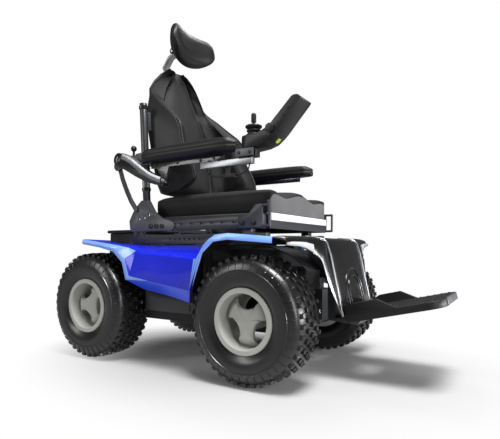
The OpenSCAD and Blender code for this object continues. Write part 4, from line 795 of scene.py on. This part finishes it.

# %% [markdown]
# The blue moulding is one lacquer, but its turned-out lip and its lower chamfer face
# the light and read paler, with crisp edges, so both are given paler blues as painted
# highlights. On the moulding the lip is the row of small upright faces and the chamfer
# is what faces down and out, so the faces are picked so.
# What faces down over the wheels is left black.

# %% Blue body, plates and cable
LIP, CHAMFER, UNDERSIDE = 1, 2, 3
LIP_AREA, CABLE_TOP = 0.0011, 0.596
for mark in ("right", "left"):
    shell = NODES["side_body_" + mark].data
    # Painted highlight: a paler blue for the turned-out lip, which faces the light.
    shell.materials.append(LIP_HIGHLIGHT_PAINT)
    # Painted light: a lighter blue for the chamfer under the panel.
    shell.materials.append(CHAMFER_LIGHT_PAINT)
    shell.materials.append(TRAY)
    for face in shell.polygons:
        out = abs(face.normal.y)
        if out < 0.5 and face.normal.z < -0.3:
            face.material_index = UNDERSIDE
        elif out > 0.8 and face.area < LIP_AREA:
            face.material_index = LIP
        elif out > 0.3 and face.normal.z < -0.2:
            face.material_index = CHAMFER
OWN_FINISH = {
    "seat_bolts": BOLT, "back_plates": PLATE_PAINT, "back_canes": DARK_ALLOY,
    "arm_right": GLOSS_BLACK, "arm_left": GLOSS_BLACK,
}
for node, finish in OWN_FINISH.items():
    NODES[node].data.materials[0] = finish
swing = NODES["swing_arm"].data
swing.materials.append(SOFT_RUBBER)
for face in swing.polygons:
    face.material_index = 1 if face.center.z < CABLE_TOP else 0

# %% [markdown]
# Thin bright beads follow the edge of the nose shroud and the lower edge of the front
# fenders, where the black moulding ends in a lip. They are painted highlights: bright
# metal laid where those edges catch a line of light.

# %% Nose edge beads as painted highlights
def smooth_line(points, count):
    """Points along a smooth line through the given ones."""
    made = []
    last = len(points) - 1
    for k in range(count):
        place = last * k / (count - 1)
        i = min(int(place), last - 1)
        f = place - i
        a, b, c, d = (Vector(points[min(max(j, 0), last)]) for j in (i - 1, i, i + 1, i + 2))
        curve = (2 * a - 5 * b + 4 * c - d) * f ** 2 + (3 * b - a - 3 * c + d) * f ** 3
        made.append(0.5 * (2 * b + (c - a) * f + curve))
    return made


SHROUD_HALF, SHROUD_BULGE = 131, 5.0
SHROUD = [(517.6, 181.3), (506.4, 230.7), (494.0, 288.4), (481.8, 350.2), (470.5, 385.2), (461.2, 394.7),
    (440.8, 399.6), (404.9, 402.9)]
FENDER = [(461.2, 208, 358.4), (476.6, 183.6, 337.8), (490.5, 162.5, 267.8), (517.6, 133.9, 181.3)]
for side, mark in ((-1, "right"), (1, "left")):
    rim = [(x - 0.5, side * (SHROUD_HALF - 1), z + 0.5) for x, z in SHROUD]
    # Bright metal beads painted along these edges as highlights.
    tube("shroud_highlight_bead_" + mark, rim, 3.6, "chassis", ALLOY)
    lip = [(p.x + 0.8, side * p.y, p.z) for p in smooth_line(FENDER, 16)]
    tube("fender_highlight_bead_" + mark, lip, 1.2, "chassis", ALLOY)

# %% [markdown]
# Low in the middle of the shroud two arches are pressed into it, one inside the other.
# Each is a bead that follows the slope of the shroud.

# %% Shroud arches
def on_shroud(y, z):
    """A point on the face of the shroud at a place across and a height."""
    for (x1, z1), (x2, z2) in zip(SHROUD, SHROUD[1:]):
        if z <= z2:
            bulge = SHROUD_BULGE * (1 - (y / SHROUD_HALF) ** 2)
            return (x1 + (x2 - x1) * (z - z1) / (z2 - z1) + bulge, y, z)
    return (SHROUD[-1][0], y, z)


for name, half, top in (("outer", 66, 312), ("inner", 48, 290)):
    bend = [math.pi * k / 16 for k in range(17)]
    turn = [(half * math.cos(a), top - half + half * math.sin(a)) for a in bend]
    legs = [(half, 190), (half, 215)] + turn + [(-half, 215), (-half, 190)]
    arch = [on_shroud(y, z) for y, z in legs]
    tube("shroud_arch_" + name, arch, 3.2, "chassis", GLOSS_BLACK)

# %% [markdown]
# The curved arm carries a polished band over its upper edge. It is laid out as a strip:
# points along the arm, each with a small section that folds over the top and the outside.

# %% Arm bands
ARM = [(-219, 668, 46), (-175.9, 650, 45.1), (-130.8, 623, 39.6), (-85.7, 598.7, 32.2), (-46.5, 584.3, 26.7),
    (-23, 578, 24.8)]
SECTION = [(270.2, -17), (270.4, -4), (269.4, 1.2), (266, 2.2), (252, 2.2), (249, 1.2)]
for side, mark in ((-1, "right"), (1, "left")):
    spine = smooth_line(ARM, 40)[2:37]
    points = []
    for i, (x, z, width) in enumerate(spine):
        ahead, behind = spine[min(i + 1, len(spine) - 1)], spine[max(i - 1, 0)]
        run = Vector((ahead.x - behind.x, ahead.y - behind.y)).normalized()
        for y, up in SECTION:
            rise = width / 2 + up
            points.append(at(x - run.y * rise, side * y, z + run.x * rise))
    row = len(SECTION)
    faces = [(i * row + j, i * row + j + 1, (i + 1) * row + j + 1, (i + 1) * row + j)
        for i in range(len(spine) - 1) for j in range(row - 1)]
    band = settle(skin("arm band", points, faces), 40)
    sheet = band.modifiers.new("sheet", "SOLIDIFY")
    sheet.thickness = 0.0012
    sheet.offset = 0.0
    pick(band)
    bpy.ops.object.modifier_apply(modifier="sheet")
    sign(band, "arm_band_" + mark, "armrest_" + mark, ALLOY)

# %% [markdown]
# Each back cane has a bright sleeve between two black collars, and a collar at its top.

# %% Cane sleeves and collars
BACK_PIVOT_X, BACK_PIVOT_Z, CANE_Y, CANE_SLOPE = -138, 515, 217.0, 0.0507
SLEEVE_R, COLLAR_R, COLLAR_HALF = 12.9, 15.0, 5


def on_cane(side, z):
    """A point on the axis of a cane at a height: the canes lean back a little."""
    return (BACK_PIVOT_X - CANE_SLOPE * (z - BACK_PIVOT_Z), side * CANE_Y, z)


for side, mark in ((-1, "right"), (1, "left")):
    sleeve = [on_cane(side, z) for z in (566, 640)]
    tube("cane_sleeve_" + mark, sleeve, SLEEVE_R, "backrest", ALLOY)
    for name, z in (("low", 568), ("high", 638), ("top", 846)):
        collar = [on_cane(side, z - COLLAR_HALF), on_cane(side, z + COLLAR_HALF)]
        tube("cane_collar_" + name + "_" + mark, collar, COLLAR_R, "backrest", GLOSS_BLACK)

# %% [markdown]
# Socket screws hold the plates. One is modelled: a short cylinder whose top edge is
# bevelled and whose socket is an inset pushed in. It is copied to each place.

# %% Screws
def screws(name, spots, radius, height, turn, body, finish):
    """Copies of one socket screw at spots in millimetres, its axis turned from Z by a matrix."""
    bpy.ops.object.select_all(action="DESELECT")
    bpy.ops.mesh.primitive_cylinder_add(vertices=18, radius=radius * MM, depth=height * MM)
    model = bpy.context.object
    bpy.ops.object.mode_set(mode="EDIT")
    bpy.ops.mesh.select_mode(type="FACE")
    bpy.ops.object.mode_set(mode="OBJECT")
    for face in model.data.polygons:
        face.select = face.normal.z > 0.9
    bpy.ops.object.mode_set(mode="EDIT")
    bpy.ops.mesh.bevel(offset=radius * 0.15 * MM, segments=1)
    bpy.ops.mesh.inset(thickness=radius * 0.35 * MM)
    bpy.ops.transform.translate(value=(0, 0, -height * 0.5 * MM))
    bpy.ops.object.mode_set(mode="OBJECT")
    made = strewn(model, [Matrix.Translation(at(*spot)) @ turn for spot in spots])
    return sign(settle(made, 30), name, body, finish)


OUT_RIGHT = Matrix.Rotation(math.radians(90), 4, "X")
OUT_LEFT = Matrix.Rotation(math.radians(-90), 4, "X")
for side, turn, mark in ((-1, OUT_RIGHT, "right"), (1, OUT_LEFT, "left")):
    spots = [(x, side * 257.5, 634) for x in (-60, -20, 30, 120, 170)]
    screws("arm_plate_screws_" + mark, spots, 4.0, 4.0, turn, "armrest_" + mark, BOLT)

# %% [markdown]
# On the joystick: a grey clamp plate with two screws under its base, a yellow-green
# charger socket on its underside, and a row of three small round marks on its side.

# %% Joystick fittings
clamp = bevelled_box(Matrix.Translation(at(307, -305.5, 627)), (0.056, 0.003, 0.02), 0.0008)
sign(clamp, "joystick_clamp_plate", "pod", PLATE_PAINT)
screws("joystick_clamp_screws", [(290, -308, 627), (324, -308, 627)], 4.2, 4.0, OUT_RIGHT, "pod", BOLT)
UNDER = Vector((0.6, 0.0, -0.8)).to_track_quat("Z", "Y").to_matrix().to_4x4()
bpy.ops.object.select_all(action="DESELECT")
bpy.ops.mesh.primitive_torus_add(
    major_radius=0.0062, minor_radius=0.002, major_segments=32, minor_segments=10)
ring = bpy.context.object
ring.matrix_world = Matrix.Translation(at(386, -262, 655.5)) @ UNDER
sign(settle(ring), "charger_socket_ring", "pod", PORT)
screws("charger_socket", [(385.8, -262, 655.8)], 5.0, 3.0, UNDER, "pod", PORT)
MARKS = [(409, -305.6, 695), (424, -305.6, 711), (438, -305.6, 727)]
screws("joystick_marks", MARKS, 3.2, 1.6, OUT_RIGHT, "pod", BOLT)

# %% [markdown]
# The footplate has rows of small studs against slipping and a grey cap on its tip.

# %% Footplate studs and cap
FOOT = Matrix.Translation(at(552, 0, 196)) @ Matrix.Rotation(math.radians(-13.5), 4, "Y")
STUD = (9, 6, 2.4, 0.6, 0.4)
STUD_PITCH, STUD_STAGGER, STUD_Z = 20, 6, -4.2
places = []
for j, y in enumerate(range(-110, 111, STUD_PITCH)):
    for x in range(40, 205, STUD_PITCH):
        spot = Vector((x + (STUD_STAGGER if j % 2 else 0), y, STUD_Z)) * MM
        places.append(FOOT @ Matrix.Translation(spot))
studs = strewn(block(*STUD), places)
sign(settle(studs), "footplate_studs", "footrest", TRAY)
CAP_AT = FOOT @ Matrix.Translation(Vector((226.5, 0, -13.5)) * MM)
cap = bevelled_box(CAP_AT, (0.006, 0.176, 0.02), 0.002)
sign(cap, "footplate_tip_cap", "footrest", PLATE_PAINT)

# %% [markdown]
# The floor is matt grey near the chair, where it takes the shadow, and turns into plain
# white light a little way out, in a long oval, so that no horizon shows behind the chair.
# That white is dimmer to all but the camera, or it would light the chair from below.

# %% Floor
bpy.ops.object.select_all(action="DESELECT")
bpy.ops.mesh.primitive_plane_add(size=40.0)
floor = bpy.context.object
floor.name = "floor"
ground, tree, _, _ = bare("pale floor")
tree.nodes.clear()
where = add(tree, "TexCoord").outputs["Object"]
# The oval is half as long again as it is wide.
oval = {1: (0.667, 1.0, 0.0), 2: (-0.067, 0.05, 0.0)}
spot = add(tree, "VectorMath", {0: where}, oval, operation="MULTIPLY_ADD")
reach = add(tree, "VectorMath", {0: spot.outputs[0]}, operation="LENGTH")
eye = add(tree, "LightPath")
white = add(tree, "MapRange", {"Value": eye.outputs["Is Camera Ray"]}, {"To Min": 0.5, "To Max": 1.0})
fade = add(tree, "MapRange", {"Value": reach.outputs["Value"]}, {"From Min": 0.3, "From Max": 0.66},
    interpolation_type="SMOOTHSTEP")
base = add(tree, "BsdfDiffuse", inputs={"Color": linear("#b2b2b2")})
glow = add(tree, "Emission", inputs={"Color": linear("#ffffff"), "Strength": 0.02})
near = add(tree, "AddShader", {0: base.outputs[0], 1: glow.outputs[0]})
far = add(tree, "Emission", {"Strength": white.outputs[0]}, {"Color": linear("#ffffff")})
total = add(tree, "MixShader", {0: fade.outputs[0], 1: near.outputs[0], 2: far.outputs[0]})
add(tree, "OutputMaterial", {"Surface": total.outputs[0]})
floor.data.materials.append(ground)
